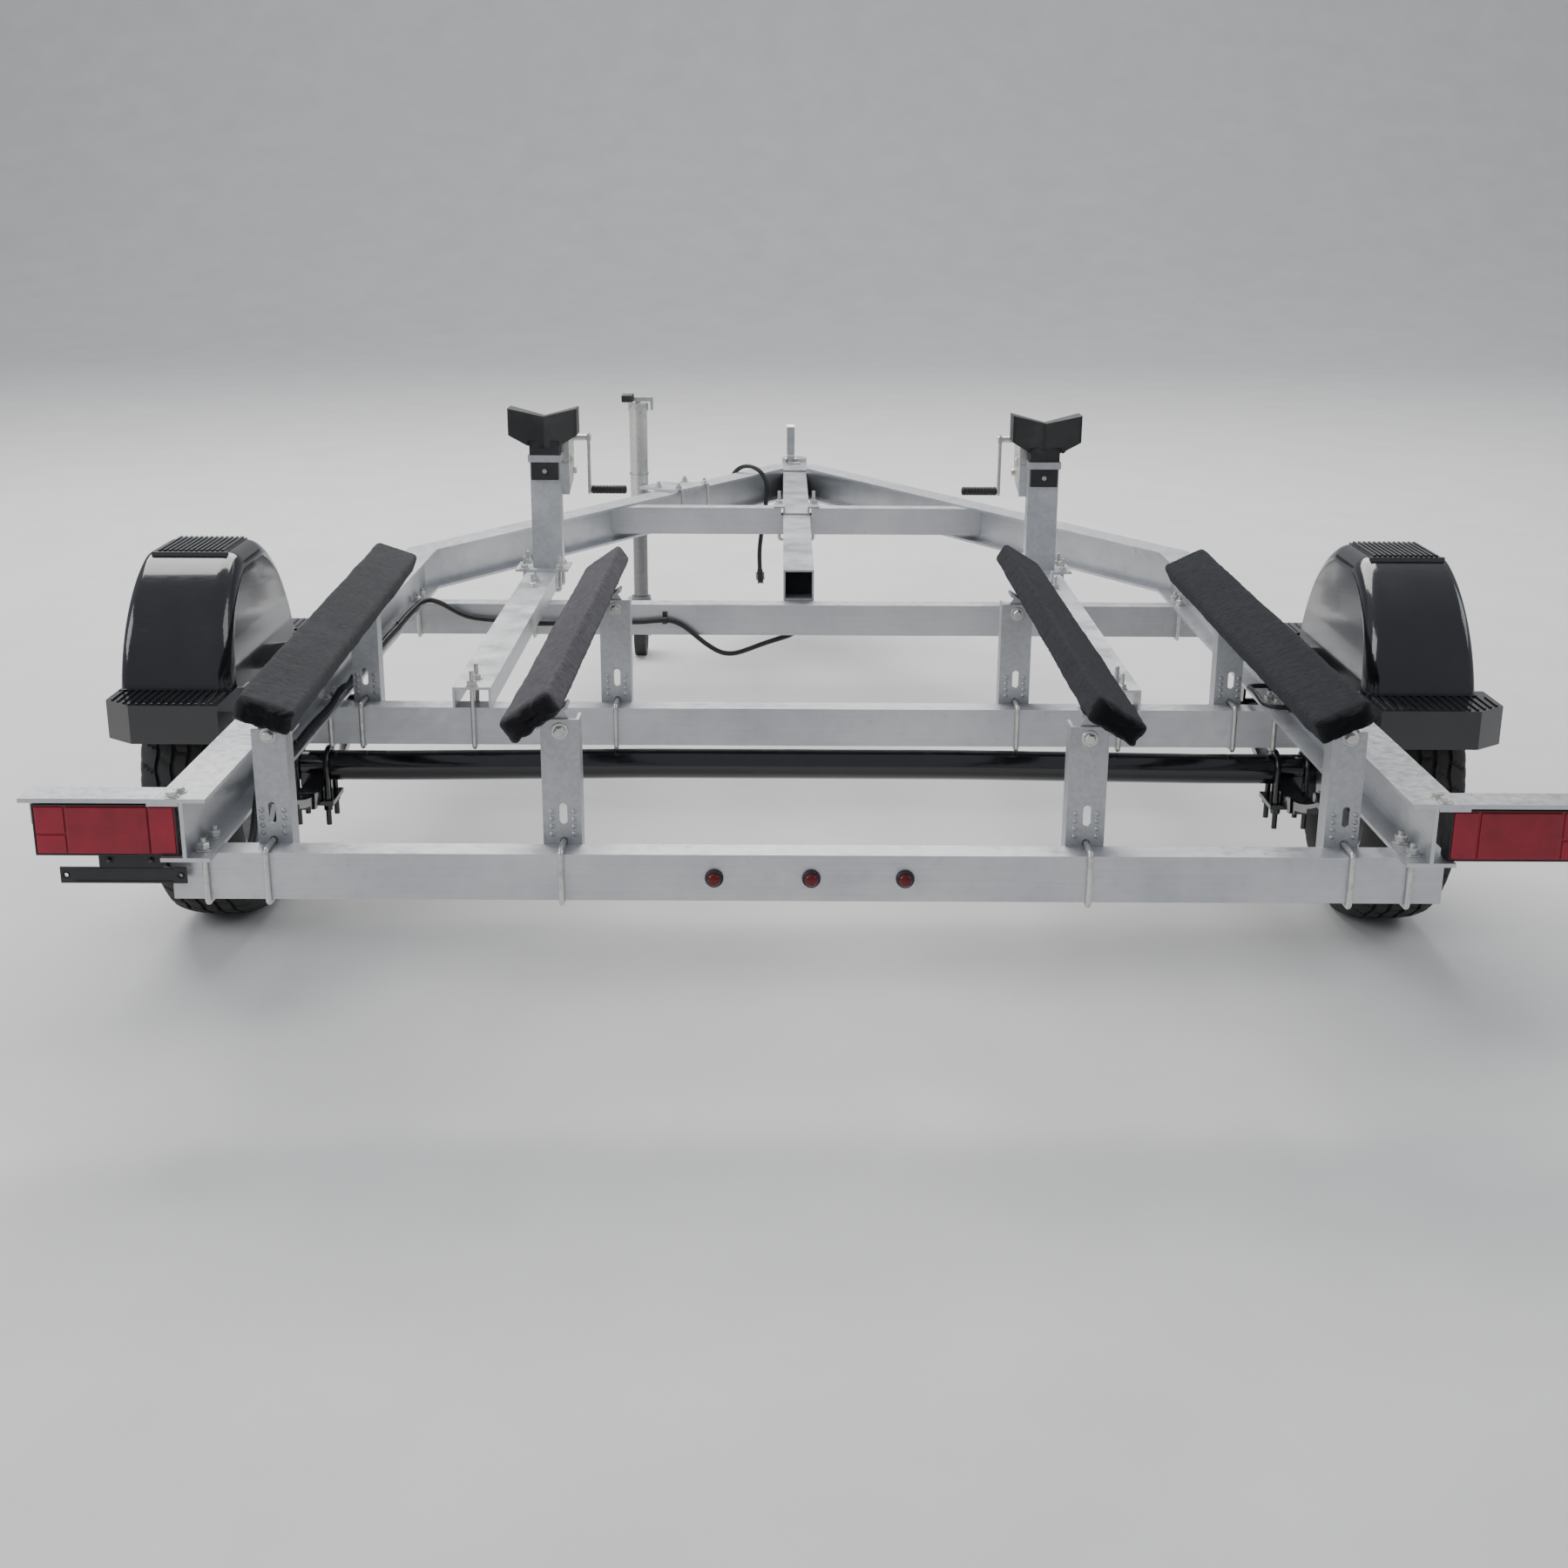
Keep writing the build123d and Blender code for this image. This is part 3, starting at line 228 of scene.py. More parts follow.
def fender_plastic():
    m = Mat("gloss_black_moulding", (0.010, 0.010, 0.012), rough=0.10, Coat_Weight=0.5, Coat_Roughness=0.06)
    dust = m.noise(freq=6, detail=8, rough=0.62)
    scr = m.noise(scale=(1, 14, 1), freq=40, detail=5)
    m.color(m.ramp(dust, [(0.45, (0.008, 0.008, 0.010)), (0.70, (0.016, 0.016, 0.018)), (0.9, (0.040, 0.038, 0.036))]))
    m.rough(scr, 0.09, 0.20).bump(m.noise(freq=26, detail=1), 0.06, 0.0012)
    return m.m


def grained_plastic(name, c=0.018, rough=0.45, freq=900):
    m = Mat(name, (c, c, c * 1.08), rough=rough)
    g = m.voronoi(freq=freq)
    d = m.noise(freq=30, detail=6, rough=0.65)
    m.color(m.ramp(d, [(0.42, (c * 0.8, c * 0.8, c * 0.85)), (0.75, (c * 1.9, c * 1.85, c * 1.8))]))
    m.rough(d, rough - 0.08, rough + 0.15).bump(g, 0.18, 0.0003)
    return m.m


def rubber(name, c=0.020, rough=0.62):
    m = Mat(name, (c, c, c), rough=rough)
    n = m.noise(freq=240, detail=6, rough=0.7)
    d = m.noise(freq=11, detail=7, rough=0.62)
    m.color(m.ramp(d, [(0.38, (c * 0.75,) * 3), (0.60, (c * 1.3,) * 3), (0.85, (c * 3.4, c * 3.2, c * 3.0))]))
    m.rough(d, rough - 0.08, rough + 0.16).bump(n, 0.22, 0.0005)
    return m.m


def carpet(name="marine_carpet", tint=(1.0, 1.0, 1.06), level=1.0, sheen=0.14):
    """short looped pile: clumped fibres, worn paler in streaks along the length"""
    c = lambda v: tuple(v * level * t for t in tint)
    m = Mat(name, c(0.024), rough=0.94, Sheen_Weight=sheen, Sheen_Roughness=0.5, Specular_IOR_Level=0.12)
    m.b.inputs["Sheen Tint"].default_value = (*[0.75 * t for t in tint], 1)
    loop = m.voronoi(freq=520)
    fibre = m.noise(scale=(1, 0.5, 1), freq=900, detail=3, rough=0.7)
    clump = m.noise(freq=85, detail=5, rough=0.6)
    wear = m.noise(scale=(1, 0.35, 1), freq=5.5, detail=5, rough=0.6)
    base = m.ramp(wear, [(0.34, c(0.015)), (0.56, c(0.026)), (0.80, c(0.046))])
    base = m.mix(0.55, base, m.ramp(clump, [(0.30, c(0.007)), (0.75, c(0.052))]))
    base = m.mix(m.ramp(fibre, [(0.70, 0.0), (0.82, 0.6)]), base, c(0.11))
    # the cut rear ends are darker: dirt and wear, plus painted shade
    at = node(m.nt, "ShaderNodeSeparateXYZ")
    m.nt.links.new(m.tc.outputs["Object"], at.inputs[0])
    rear_end_dirt_and_shade = node(m.nt, "ShaderNodeMapRange", inputs={"From Min": -1.922, "From Max": -1.890, "To Min": 0.88, "To Max": 0.0})
    m.nt.links.new(at.outputs["Y"], rear_end_dirt_and_shade.inputs["Value"])
    base = m.mix(rear_end_dirt_and_shade.outputs["Result"], base, (0.0045, 0.0045, 0.0055))
    m.color(base).bump(loop, 0.55, 0.0014).bump(fibre, 0.35, 0.0008).bump(clump, 0.35, 0.0024)
    return m.m


def lens(name, c, dark):
    m = Mat(name, c, rough=0.12, Coat_Weight=0.35, Coat_Roughness=0.05, IOR=1.45, Specular_IOR_Level=0.30)
    n = m.noise(freq=24, detail=4, rough=0.6)
    prism = m.voronoi(freq=260, feature="F1")
    m.color(m.ramp(n, [(0.30, dark), (0.72, c)]))
    m.rough(n, 0.08, 0.20).bump(prism, 0.07, 0.0006)
    return m.m


def strap_weave():
    m = Mat("woven_strap", (0.02, 0.02, 0.022), rough=0.8, Sheen_Weight=0.25)
    a = m.wave("X", 900, 0.5)
    b = m.wave("Z", 700, 0.8)
    w = m.mix(0.5, a, b)
    m.color(m.ramp(w, [(0.2, (0.010, 0.010, 0.012)), (0.8, (0.045, 0.045, 0.050))])).bump(w, 0.5, 0.0006)
    return m.m


def tyre_mat():
    m = Mat("tyre_rubber", (0.018, 0.018, 0.018), rough=0.72)
    n = m.noise(freq=300, detail=6, rough=0.7)
    d = m.noise(freq=7, detail=8, rough=0.66)
    m.color(m.ramp(d, [(0.36, (0.014, 0.014, 0.014)), (0.58, (0.026, 0.025, 0.024)), (0.82, (0.078, 0.070, 0.062))]))
    m.rough(d, 0.62, 0.88).bump(n, 0.25, 0.0006)
    return m.m


def wheel_mat():
    m = Mat("silver_wheel", (0.50, 0.51, 0.52), metallic=0.55, rough=0.38)
    d = m.noise(freq=14, detail=7, rough=0.66)
    m.color(m.ramp(d, [(0.35, (0.42, 0.43, 0.44)), (0.6, (0.54, 0.55, 0.56)), (0.85, (0.30, 0.28, 0.26))]))
    m.rough(d, 0.32, 0.55).bump(m.noise(freq=380, detail=2), 0.05, 0.0003)
    return m.m


ALU_Y = aluminium("mill_aluminium_lengthways", (1, 0.02, 1))
ALU_X = aluminium("mill_aluminium_crossways", (0.02, 1, 1))
GALV = galvanised("galvanised_dull", 0.92, 150)
GALV_B = galvanised("galvanised_bright", 1.18, 115)
# a darker copy of the galvanised finish, 0.46 as bright, for the jack's leg and fork
GALV_D = galvanised("galvanised_darkened", 0.46, 120)
ZINC = zinc()
BLACK = black_paint()
GLOSS = fender_plastic()
PLASTIC = grained_plastic("black_plastic")
CABLE = grained_plastic("cable_jacket", 0.014, 0.38, 1500)
RUBBER = rubber("moulded_rubber", 0.018, 0.52)
CARPET = carpet()
# a paler copy of the carpet, 2.3 times as light, for the inner-left bunk
CARPET_PALER = carpet("marine_carpet_paler", (1.0, 0.97, 1.06), 2.3)
# darker copy of the carpet for the two right bunks: painted shade
CARPET_SHADED = carpet("marine_carpet_painted_shade", (0.94, 0.99, 1.10), 0.62, 0.07)
RED = lens("red_lens", (0.34, 0.012, 0.032), (0.25, 0.008, 0.022))
RED_D = lens("red_reflector", (0.30, 0.011, 0.028), (0.21, 0.007, 0.019))
RED_I = lens("red_marker_lens", (0.13, 0.004, 0.008), (0.085, 0.003, 0.005))
STRAP = strap_weave()
TYRE = tyre_mat()
WHEEL = wheel_mat()
# near-black filler for holes and the open tube end: painted shade
PAINTED_SHADE = Mat("painted_recess_shade", (0.006, 0.006, 0.007), rough=0.85)
PAINTED_SHADE.color(PAINTED_SHADE.ramp(PAINTED_SHADE.noise(freq=40, detail=4), [(0.3, (0.004, 0.004, 0.005)), (0.8, (0.012, 0.012, 0.012))]))
PAINTED_SHADE = PAINTED_SHADE.m
BRASS = Mat("brass_contact", (0.60, 0.42, 0.16), metallic=1.0, rough=0.28)
BRASS.color(BRASS.ramp(BRASS.noise(freq=200, detail=5), [(0.3, (0.52, 0.36, 0.13)), (0.7, (0.66, 0.48, 0.20))]))
BRASS = BRASS.m


def paint(names, m):
    for n in names:
        ob = NODES[n]
        if not ob.material_slots:
            ob.data.materials.append(m)
        for s in ob.material_slots:
            s.material = m


paint(["beam_left", "beam_right"], ALU_Y)
paint(["crossmember_rear", "crossmember_axle", "crossmember_mid", "crossmember_front", "light_bars", "fender_stays"], ALU_X)
paint(["tongue_tube", "tongue_brackets", "coupler", "coupler_latch", "bunk_posts"], GALV)
paint(["jack_leg", "jack_fork"], GALV_D)
paint(["winch_rails", "winch_post_left", "winch_post_right", "jack_mount"], GALV_B)
paint(["u_bolts", "winch_frames", "winch_crank_left", "winch_crank_right", "jack_tube"], ZINC)
paint(["axle", "leaf_springs", "spring_fittings", "hub_left", "hub_right"], BLACK)
paint(["fender_left", "fender_right"], GLOSS)
paint(["tail_light_cases", "plate_bracket", "wire_clips", "tow_plug", "jack_wheel"], PLASTIC)
paint(["tail_light_lenses"], RED)
paint(["id_lights"], RED_I)
paint(["bow_stop_left", "bow_stop_right", "wire_grommets"], RUBBER)
paint(["rim_left", "rim_right"], WHEEL)
paint(["winch_drum_left", "winch_drum_right"], ZINC)
paint(["tyre_left", "tyre_right"], TYRE)
paint(["wire_loom", "wire_loop", "tow_lead"], CABLE)
paint(["bunk_outer_left", "bunk_inner_left", "bunk_inner_right", "bunk_outer_right"], CARPET)

# softened edges on the plain sections
for n, w in (("beam_left", 1.2), ("beam_right", 1.2), ("crossmember_rear", 2.2), ("crossmember_axle", 2.2), ("crossmember_mid", 2.2),
             ("crossmember_front", 2.2), ("tongue_tube", 2.5), ("bunk_posts", 0.9), ("light_bars", 0.9), ("winch_rails", 1.6), ("winch_post_left", 1.2),
             ("winch_post_right", 1.2), ("jack_mount", 1.0), ("coupler", 1.6), ("coupler_latch", 1.5), ("fender_stays", 0.8), ("bow_stop_left", 3.0),
             ("bow_stop_right", 3.0), ("tail_light_cases", 1.6), ("plate_bracket", 0.8), ("winch_frames", 0.9), ("tongue_brackets", 0.9), ("jack_fork", 0.8),
             ("spring_fittings", 0.8), ("leaf_springs", 0.8)):
    bv = NODES[n].modifiers.new("edges", "BEVEL")
    bv.width, bv.segments, bv.limit_method, bv.angle_limit = w / 1000, 2, "ANGLE", math.radians(50)
    bv.harden_normals = False


# ------------------------------------------------------------------ mesh helpers
class Piece:
    """gathers parts into one mesh; lengths in millimetres"""
    def __init__(self):
        self.v, self.f, self.s = [], [], []

    def add(self, verts, faces, smooth=False):
        o = len(self.v)
        self.v += [tuple(x) for x in verts]
        self.f += [tuple(i + o for i in f) for f in faces]
        self.s += [smooth] * len(faces)

    def box(self, x0, x1, y0, y1, z0, z1, m=None):
        v = [Vector((x, y, z)) for x in (x0, x1) for y in (y0, y1) for z in (z0, z1)]
        if m is not None:
            v = [m @ p for p in v]
        self.add(v, [(0, 1, 3, 2), (4, 6, 7, 5), (0, 4, 5, 1), (2, 3, 7, 6), (0, 2, 6, 4), (1, 5, 7, 3)])

    def lathe(self, prof, m, seg=24, smooth=True, cap=True, phase=0.0):
        """prof: (radius, height) pairs from bottom to top"""
        v, f = [], []
        for r, h in prof:
            for k in range(seg):
                a = 2 * math.pi * (k + phase) / seg
                v.append(m @ Vector((r * math.cos(a), r * math.sin(a), h)))
        for i in range(len(prof) - 1):
            for k in range(seg):
                j = (k + 1) % seg
                f.append((i * seg + k, i * seg + j, (i + 1) * seg + j, (i + 1) * seg + k))
        self.add(v, f, smooth)
        if cap:
            n = len(prof) - 1
            self.add(v[:seg], [tuple(range(seg))[::-1]], False)
            self.add(v[n * seg:], [tuple(range(seg))], False)

    def make(self, name, mat, body="frame", slot=None, bevel=0.0, auto=None):
        me = D.meshes.new(name)
        me.from_pydata([(x / 1000, y / 1000, z / 1000) for x, y, z in self.v], [], self.f)
        me.polygons.foreach_set("use_smooth", self.s)
        me.validate()
        me.update()
        me.materials.append(mat)
        ob = D.objects.new(name, me)
        COL.objects.link(ob)
        if bevel:
            b = ob.modifiers.new("edges", "BEVEL")
            b.width, b.segments, b.limit_method, b.angle_limit = bevel / 1000, 2, "ANGLE", math.radians(40)
        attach(ob, body)
        return ob


def along(p, d, spin=0.0):
    """matrix whose Z runs along d from p"""
    d = Vector(d).normalized()
    q = Vector((0, 0, 1)).rotation_difference(d) if d.z > -0.9999 else Matrix.Rotation(math.pi, 3, "X").to_quaternion()
    return Matrix.Translation(Vector(p)) @ q.to_matrix().to_4x4() @ Matrix.Rotation(spin, 4, "Z")


def hexhead(pc, p, d, af, h, spin=None):
    r = af / math.sqrt(3)
    spin = random.uniform(0, 1.05) if spin is None else spin
    pc.lathe([(r, 0), (r, h * 0.80), (r * 0.90, h)], along(p, d, spin), seg=6, smooth=False)


def washer(pc, p, d, r, h=1.8):
    pc.lathe([(r * 0.97, 0), (r, h * 0.3), (r, h * 0.7), (r * 0.95, h)], along(p, d), seg=28)


def stud(pc, p, d, r, length, pitch=1.6):
    prof = []
    n = max(2, int(length / pitch))
    for i in range(n):
        prof += [(r * 0.86, i * pitch), (r, (i + 0.5) * pitch)]
    prof += [(r * 0.86, n * pitch), (r * 0.6, n * pitch + 0.8)]
    pc.lathe(prof, along(p, d), seg=12)


def nut_stack(pc, p, d, r=4.5, tail=10.0, w=11.0):
    """washer, lock washer, nut and thread standing on a face"""
    p, d = Vector(p), Vector(d).normalized()
    washer(pc, p, d, w, 1.8)
    washer(pc, p + d * 1.8, d, w * 0.72, 2.0)
    hexhead(pc, p + d * 3.8, d, r * 3.1, r * 1.6)
    stud(pc, p + d * (3.8 + r * 1.5), d, r * 0.98, tail)


def bolt_head(pc, p, d, af=15.0, h=6.4, w=12.0):
    p, d = Vector(p), Vector(d).normalized()
    washer(pc, p, d, w, 1.8)
    hexhead(pc, p + d * 1.8, d, af, h)
    pc.lathe([(af * 0.46, 0), (af * 0.40, 0.7)], along(p + d * (1.8 + h), d), seg=18)


# the trailer's own figures, in millimetres
REAR_Y, BEAM_X, Z_CM, CM_H, CM_D = -1969.0, 958.0, 424.0, 76.2, 50.8
CM_Y = {"rear": -1924.0, "axle": -1043.0, "mid": -53.0}
ZF = Z_CM + 101.6
SLOPE = 0.595
ANG = math.atan(SLOPE)
U, N = Vector((math.sin(ANG), math.cos(ANG), 0)), Vector((-math.cos(ANG), math.sin(ANG), 0))
RAIL_X, POST_X, POST_Y, RAIL_Z = {"left": -655.0, "right": 631.0}, {"left": -642.0, "right": 620.0}, 160.0, 469.0
AX_Y, AX_Z = -1030.0, 300.0


# ------------------------------------------------------------------ wiring
def nurbs(name, pts, radius, mat):
    cu = D.curves.new(name, "CURVE")
    cu.dimensions = "3D"
    sp = cu.splines.new("NURBS")
    sp.points.add(len(pts) - 1)
    for p, q in zip(sp.points, pts):
        p.co = (q[0] / 1000, q[1] / 1000, q[2] / 1000, 1)
    sp.order_u = 3
    sp.use_endpoint_u = True
    cu.resolution_u = 10
    cu.bevel_depth = radius / 1000
    cu.bevel_resolution = 6
    cu.use_fill_caps = True
    cu.materials.append(mat)
    ob = D.objects.new(name, cu)
    COL.objects.link(ob)
    return ob


def line_of(pts):
    """points along the route's own spline, in millimetres"""
    ob = nurbs("route", pts, 0.0, CABLE)
    ob.data.resolution_u = 24
    ob.data.use_fill_caps = False
    bpy.context.view_layer.update()
    me = D.meshes.new_from_object(ob)
    out = [v.co.copy() * 1000 for v in me.vertices]
    D.meshes.remove(me)
    D.objects.remove(ob)
    return out


def length_of(line):
    return sum((b - a).length for a, b in zip(line, line[1:]))


def resample(line, step):
    out, need = [line[0]], step
    for a, b in zip(line, line[1:]):
        l = (b - a).length
        t = need
        while t <= l:
            out.append(a.lerp(b, t / l))
            t += step
        need = t - l
    if (out[-1] - line[-1]).length > step * 0.4:
        out.append(line[-1])
    return out


def tube_mesh(name, line, radii, mat, seg=14):
    """tube along a line with a radius at each point"""
    v, f = [], []
    t0 = (line[1] - line[0]).normalized()
    up = t0.orthogonal().normalized()
    prev = t0
    for i, p in enumerate(line):
        t = (line[min(i + 1, len(line) - 1)] - line[max(i - 1, 0)]).normalized()
        up = prev.rotation_difference(t) @ up
        up = (up - t * up.dot(t)).normalized()
        prev = t
        side = t.cross(up)
        for k in range(seg):
            a = 2 * math.pi * k / seg
            v.append(p + (up * math.cos(a) + side * math.sin(a)) * radii[i])
        if i:
            o = (i - 1) * seg
            for k in range(seg):
                j = (k + 1) % seg
                f.append((o + k, o + j, o + seg + j, o + seg + k))
    f.append(tuple(range(seg))[::-1])
    f.append(tuple(range(len(v) - seg, len(v))))
    me = D.meshes.new(name)
    me.from_pydata([x / 1000 for x in v], [], f)
    me.polygons.foreach_set("use_smooth", [True] * (len(f) - 2) + [False] * 2)
    me.update()
    me.materials.append(mat)
    ob = D.objects.new(name, me)
    COL.objects.link(ob)
    return ob


y = CM_Y["mid"] - 9.6
LOOM = [(-900, -1867, 392), (-900, -1833, 392), (-901, -1798, 400), (-905, -1765, 417), (-909, -1733, 435), (-914, -1700, 446), (-921, -1664, 446),
        (-927, -1620, 440), (-930, -1560, 438), (-932, -1480, 437.8), (-929, -1370, 437.6), (-932, -1250, 438), (-928, -1150, 439),
        (-923, -1090, 442), (-922.5, -1046, 452), (-922.5, -990, 452), (-924, -944, 442), (-929, -880, 438), (-933, -760, 437.6), (-930, -630, 438), (-933, -500, 437.6), (-930, -370, 438),
        (-931, -250, 437.6), (-927, -170, 439), (-919, -118, 443), (-902, -86, 441), (-878, y - 8, 428), (-852, y - 4, 411), (-826, y - 3, 397), (-800, y - 1, 390), (-772, y - 1, 387),
        (-732, y - 3, 385), (-696, y - 11, 383), (-655, y - 14, 380), (-614, y - 12, 379), (-566, y - 4, 381), (-508, y, 379), (-450, y - 1, 383), (-394, y, 381),
        (-350, y - 0.5, 386), (-312, y - 0.6, 386.6), (-282, y - 2, 372), (-256, y - 4, 350), (-226, y - 6, 326), (-192, y - 8, 306), (-160, y - 4, 303),
        (-126, y + 2, 313), (-90, y + 12, 325), (-54, y + 30, 333), (-24, y + 62, 335), (-8, y + 97, 337), (-1, y + 130, 343), (0, y + 155.4, 354.8), (0, y + 174.1, 375.6), (0, y + 183.7, 401.9), (0, y + 183.7, 417.8)]
LOOP = [(949, -1112, 450), (926, -1112, 450), (910.4, -1103, 451), (901.4, -1087.4, 453), (901, -1057, 456.5), (901, -1027, 458), (901, -997, 456.5),
        (901.4, -966.6, 453), (910.4, -951, 451), (926, -942, 450), (949, -942, 450)]
LT = 1500.0
LW = Vector((-BEAM_X + SLOPE * (LT - 139.0), LT, 0))
LEAD = [tuple(LW + N * o + U * t + Vector((0, 0, z))) for o, t, z in (
    (7, -6, 446), (39.6, -6, 446), (56.4, -6, 455.7), (66, -6, 472.4), (66, -5.5, 499.7), (48.3, -4.5, 530.3), (17.7, -3, 548),
    (-17.7, -1, 548), (-48.3, 1, 530.3), (-66, 2.5, 499.7), (-66, 2, 462), (-64, -2, 425), (-61, -7, 390), (-58, -13, 355), (-56, -19, 322),
    (-56, -26, 290), (-60, -34, 257), (-67, -42, 225))]

# corrugated loom: rings every 2.6 mm along the route's spline
raw = line_of(LOOM)
fine = resample(raw, 1.3)
loom = tube_mesh("loom_corrugated", fine, [6.5 if i % 2 == 0 else 5.5 for i in range(len(fine))], CABLE, seg=12)
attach(loom, "frame")
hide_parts("wire_loom")
[list(p / 1000) for p in resample(raw, 6.0)]
loop = nurbs("light_wire_loop", LOOP, 5.0, CABLE)
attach(loop, "frame")
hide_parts("wire_loop")
length_of(line_of(LOOP)) / 1000
lead = nurbs("tow_harness", LEAD, 7.0, CABLE)
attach(lead, "frame")
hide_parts("tow_lead")

# plug: ribbed moulding with four pins
pe, pd = Vector(LEAD[-1]), (Vector(LEAD[-1]) - Vector(LEAD[-2])).normalized()
pins = Piece()
lows, highs = [Vector(c) * 1000 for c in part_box("tow_plug")]
pm = along(pe, pd)
xa = Vector((1, 0, 0)); xa = (xa - pd * xa.dot(pd)).normalized()
pm = Matrix((xa, pd.cross(xa), pd)).transposed().to_4x4(); pm.translation = pe
ribs = Piece()
for i in range(5):
    ribs.box(-14.0, 14.0, -9.5, 9.5, 9 + i * 5.2, 11.4 + i * 5.2, pm)
plug_ribs = ribs.make("tow_plug_ribs", PLASTIC, "frame", "black_plastic", bevel=0.4)
for i in range(4):
    pins.lathe([(1.7, 40.0), (1.7, 45.4), (1.3, 46.4)], pm @ Matrix.Translation((-8.4 + i * 5.6, 0, 0)), seg=14)
plug_pins = pins.make("tow_plug_contacts", BRASS, "frame", "zinc")
length_of(line_of(LEAD)) / 1000


# ------------------------------------------------------------------ bunks: carpet drawn over a board
BUNKS = {
    "outer_left": (-838, -883, 642, -19.0, -1925, -585),
    "inner_left": (-429, -416, 641, 35.0, -1930, -650),
    "inner_right": (473, 470, 637, -32.0, -1925, -583),
    "outer_right": (823, 832, 638, 25.5, -1925, -615),
}


def rounded_section(w, h, r, step):
    """points round a rounded rectangle with their outward normals"""
    out = []
    arc = max(5, int(0.5 * math.pi * r / step) + 1)
    for cx, cy, a0 in ((w - r, h - r, 0), (-w + r, h - r, 90), (-w + r, -h + r, 180), (w - r, -h + r, 270)):
        for k in range(arc):
            a = math.radians(a0 + 90 * k / (arc - 1))
            out.append((cx + r * math.cos(a), cy + r * math.sin(a), math.cos(a), math.sin(a)))
    full = []
    for a, b in zip(out, out[1:] + out[:1]):
        full.append(a)
        d = math.hypot(b[0] - a[0], b[1] - a[1])
        n = int(d / step)
        for i in range(1, n + 1):
            t = i / (n + 1)
            full.append((a[0] + (b[0] - a[0]) * t, a[1] + (b[1] - a[1]) * t, a[2], a[3]))
    return full


def carpet_bunk(name, xr, xf, z, tilt, yr, yf, seed, mat, crumple, dent):
    t = math.radians(tilt)
    u, n = Vector((math.cos(t), 0, math.sin(t))), Vector((-math.sin(t), 0, math.cos(t)))
    step = 3.4
    sec = rounded_section(47.4, 22.0, 9.5, step)
    rows = int((yf - yr - 12) / step)
    v, f = [], []
    ns = len(sec)
    off = Vector((seed * 7.3, seed * 3.1, 0))

    def point(i, j):
        s = i / rows
        yy = yr + 6 + (yf - yr - 12) * s
        xx = xr + (xf - xr) * s
        a, b, na, nb = sec[j]
        # ends tuck in over 8 mm
        e = min(i, rows - i) * step
        k = 1.0 if e > 15 else 0.80 + 0.20 * math.sin(0.5 * math.pi * e / 15)
        p = Vector((xx, yy, z)) + u * (a * k) + n * (b * k)
        q = p / 1000 + off
        d = 1.5 * noise.noise(q * 9) + 0.9 * noise.noise(q * 28) + 0.55 * noise.noise(q * 140) + 0.75 * noise.noise(q * 330) - 1.3
        # folds pulled towards the rear end
        fold = math.exp(-(yy - yr) / 55.0) * 1.9 * crumple * noise.noise(Vector((a / 16 + seed, b / 16, (yy - yr) / 90)))
        d += fold - abs(fold) * 0.6
        return p + (u * na + n * nb) * d
    for i in range(rows + 1):
        for j in range(ns):
            v.append(point(i, j))
    for i in range(rows):
        for j in range(ns):
            k = (j + 1) % ns
            f.append((i * ns + j, i * ns + k, (i + 1) * ns + k, (i + 1) * ns + j))
    # ends: rings drawn in to a tucked, creased centre
    for end in (0, rows):
        base = end * ns
        ring = base
        cen = sum((v[base + j] for j in range(ns)), Vector()) / ns
        outd = -1 if end == 0 else 1
        last = [base + j for j in range(ns)]
        for q in range(1, 15):
            k = 1 - q / 15.0
            cur = []
            for j in range(ns):
                p0 = v[base + j]
                a, b, na, nb = sec[j]
                p = cen + (p0 - cen) * k
                ang = math.atan2(b * 2.0, a)
                crease = 1.5 * abs(math.sin(2.0 * ang + seed)) * k + 1.7 * noise.noise(Vector((a * k / 11, b * k / 11, seed * 5 + end)))
                if end == 0:
                    crease *= crumple
                    crease += dent * math.exp(-((a * k - 6) ** 2 / 420.0 + (b * k + 1) ** 2 / 60.0)) * min(1.0, q / 4.0)
                crease = crease * (0.6 if q > 1 else 0.2)
                p = p + Vector((0, outd * (min(q * 1.9, 5.4) * 0.9 - crease), 0))
                lim = yr + 0.2 if end == 0 else yf - 0.2
                p.y = max(p.y, lim) if end == 0 else min(p.y, lim)
                v.append(p)
                cur.append(len(v) - 1)
            for j in range(ns):
                k2 = (j + 1) % ns
                quad = (last[j], last[k2], cur[k2], cur[j])
                f.append(quad[::-1] if end == 0 else quad)
            last = cur
        v.append(sum((v[i] for i in last), Vector()) / ns)
        c = len(v) - 1
        for j in range(ns):
            k2 = (j + 1) % ns
            f.append((last[k2], last[j], c) if end == 0 else (last[j], last[k2], c))
    me = D.meshes.new("bunk_carpet_" + name)
    me.from_pydata([p / 1000 for p in v], [], f)
    me.polygons.foreach_set("use_smooth", [True] * len(f))
    me.update()
    bm = bmesh.new(); bm.from_mesh(me); bmesh.ops.recalc_face_normals(bm, faces=bm.faces); bm.to_mesh(me); bm.free()
    me.materials.append(mat)
    ob = D.objects.new("bunk_carpet_" + name, me)
    COL.objects.link(ob)
    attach(ob, "frame")
    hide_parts("bunk_" + name)
    return u, n


staples = Piece()
for i, (k, args) in enumerate(BUNKS.items()):
    u, n = carpet_bunk(k, *args, seed=i + 1, mat={"inner_left": CARPET_PALER, "outer_left": CARPET}.get(k, CARPET_SHADED), crumple=2.5 if k == "inner_left" else 1.9, dent=15.0 if k == "inner_left" else 4.0)
    xr, xf, z, tilt, yr, yf = args
    for q in range(14):
        s = (q + 0.5) / 14
        for a in (-30, 30):
            c = Vector((xr + (xf - xr) * s, yr + (yf - yr) * s, z)) + u * a - n * 22.35
            m = Matrix((u, Vector((0, 1, 0)), n)).transposed().to_4x4()
            m.translation = c
            staples.box(-5, 5, -0.6, 0.6, -0.25, 0.4, m)
staples.make("carpet_staples", ZINC, "frame", "zinc")


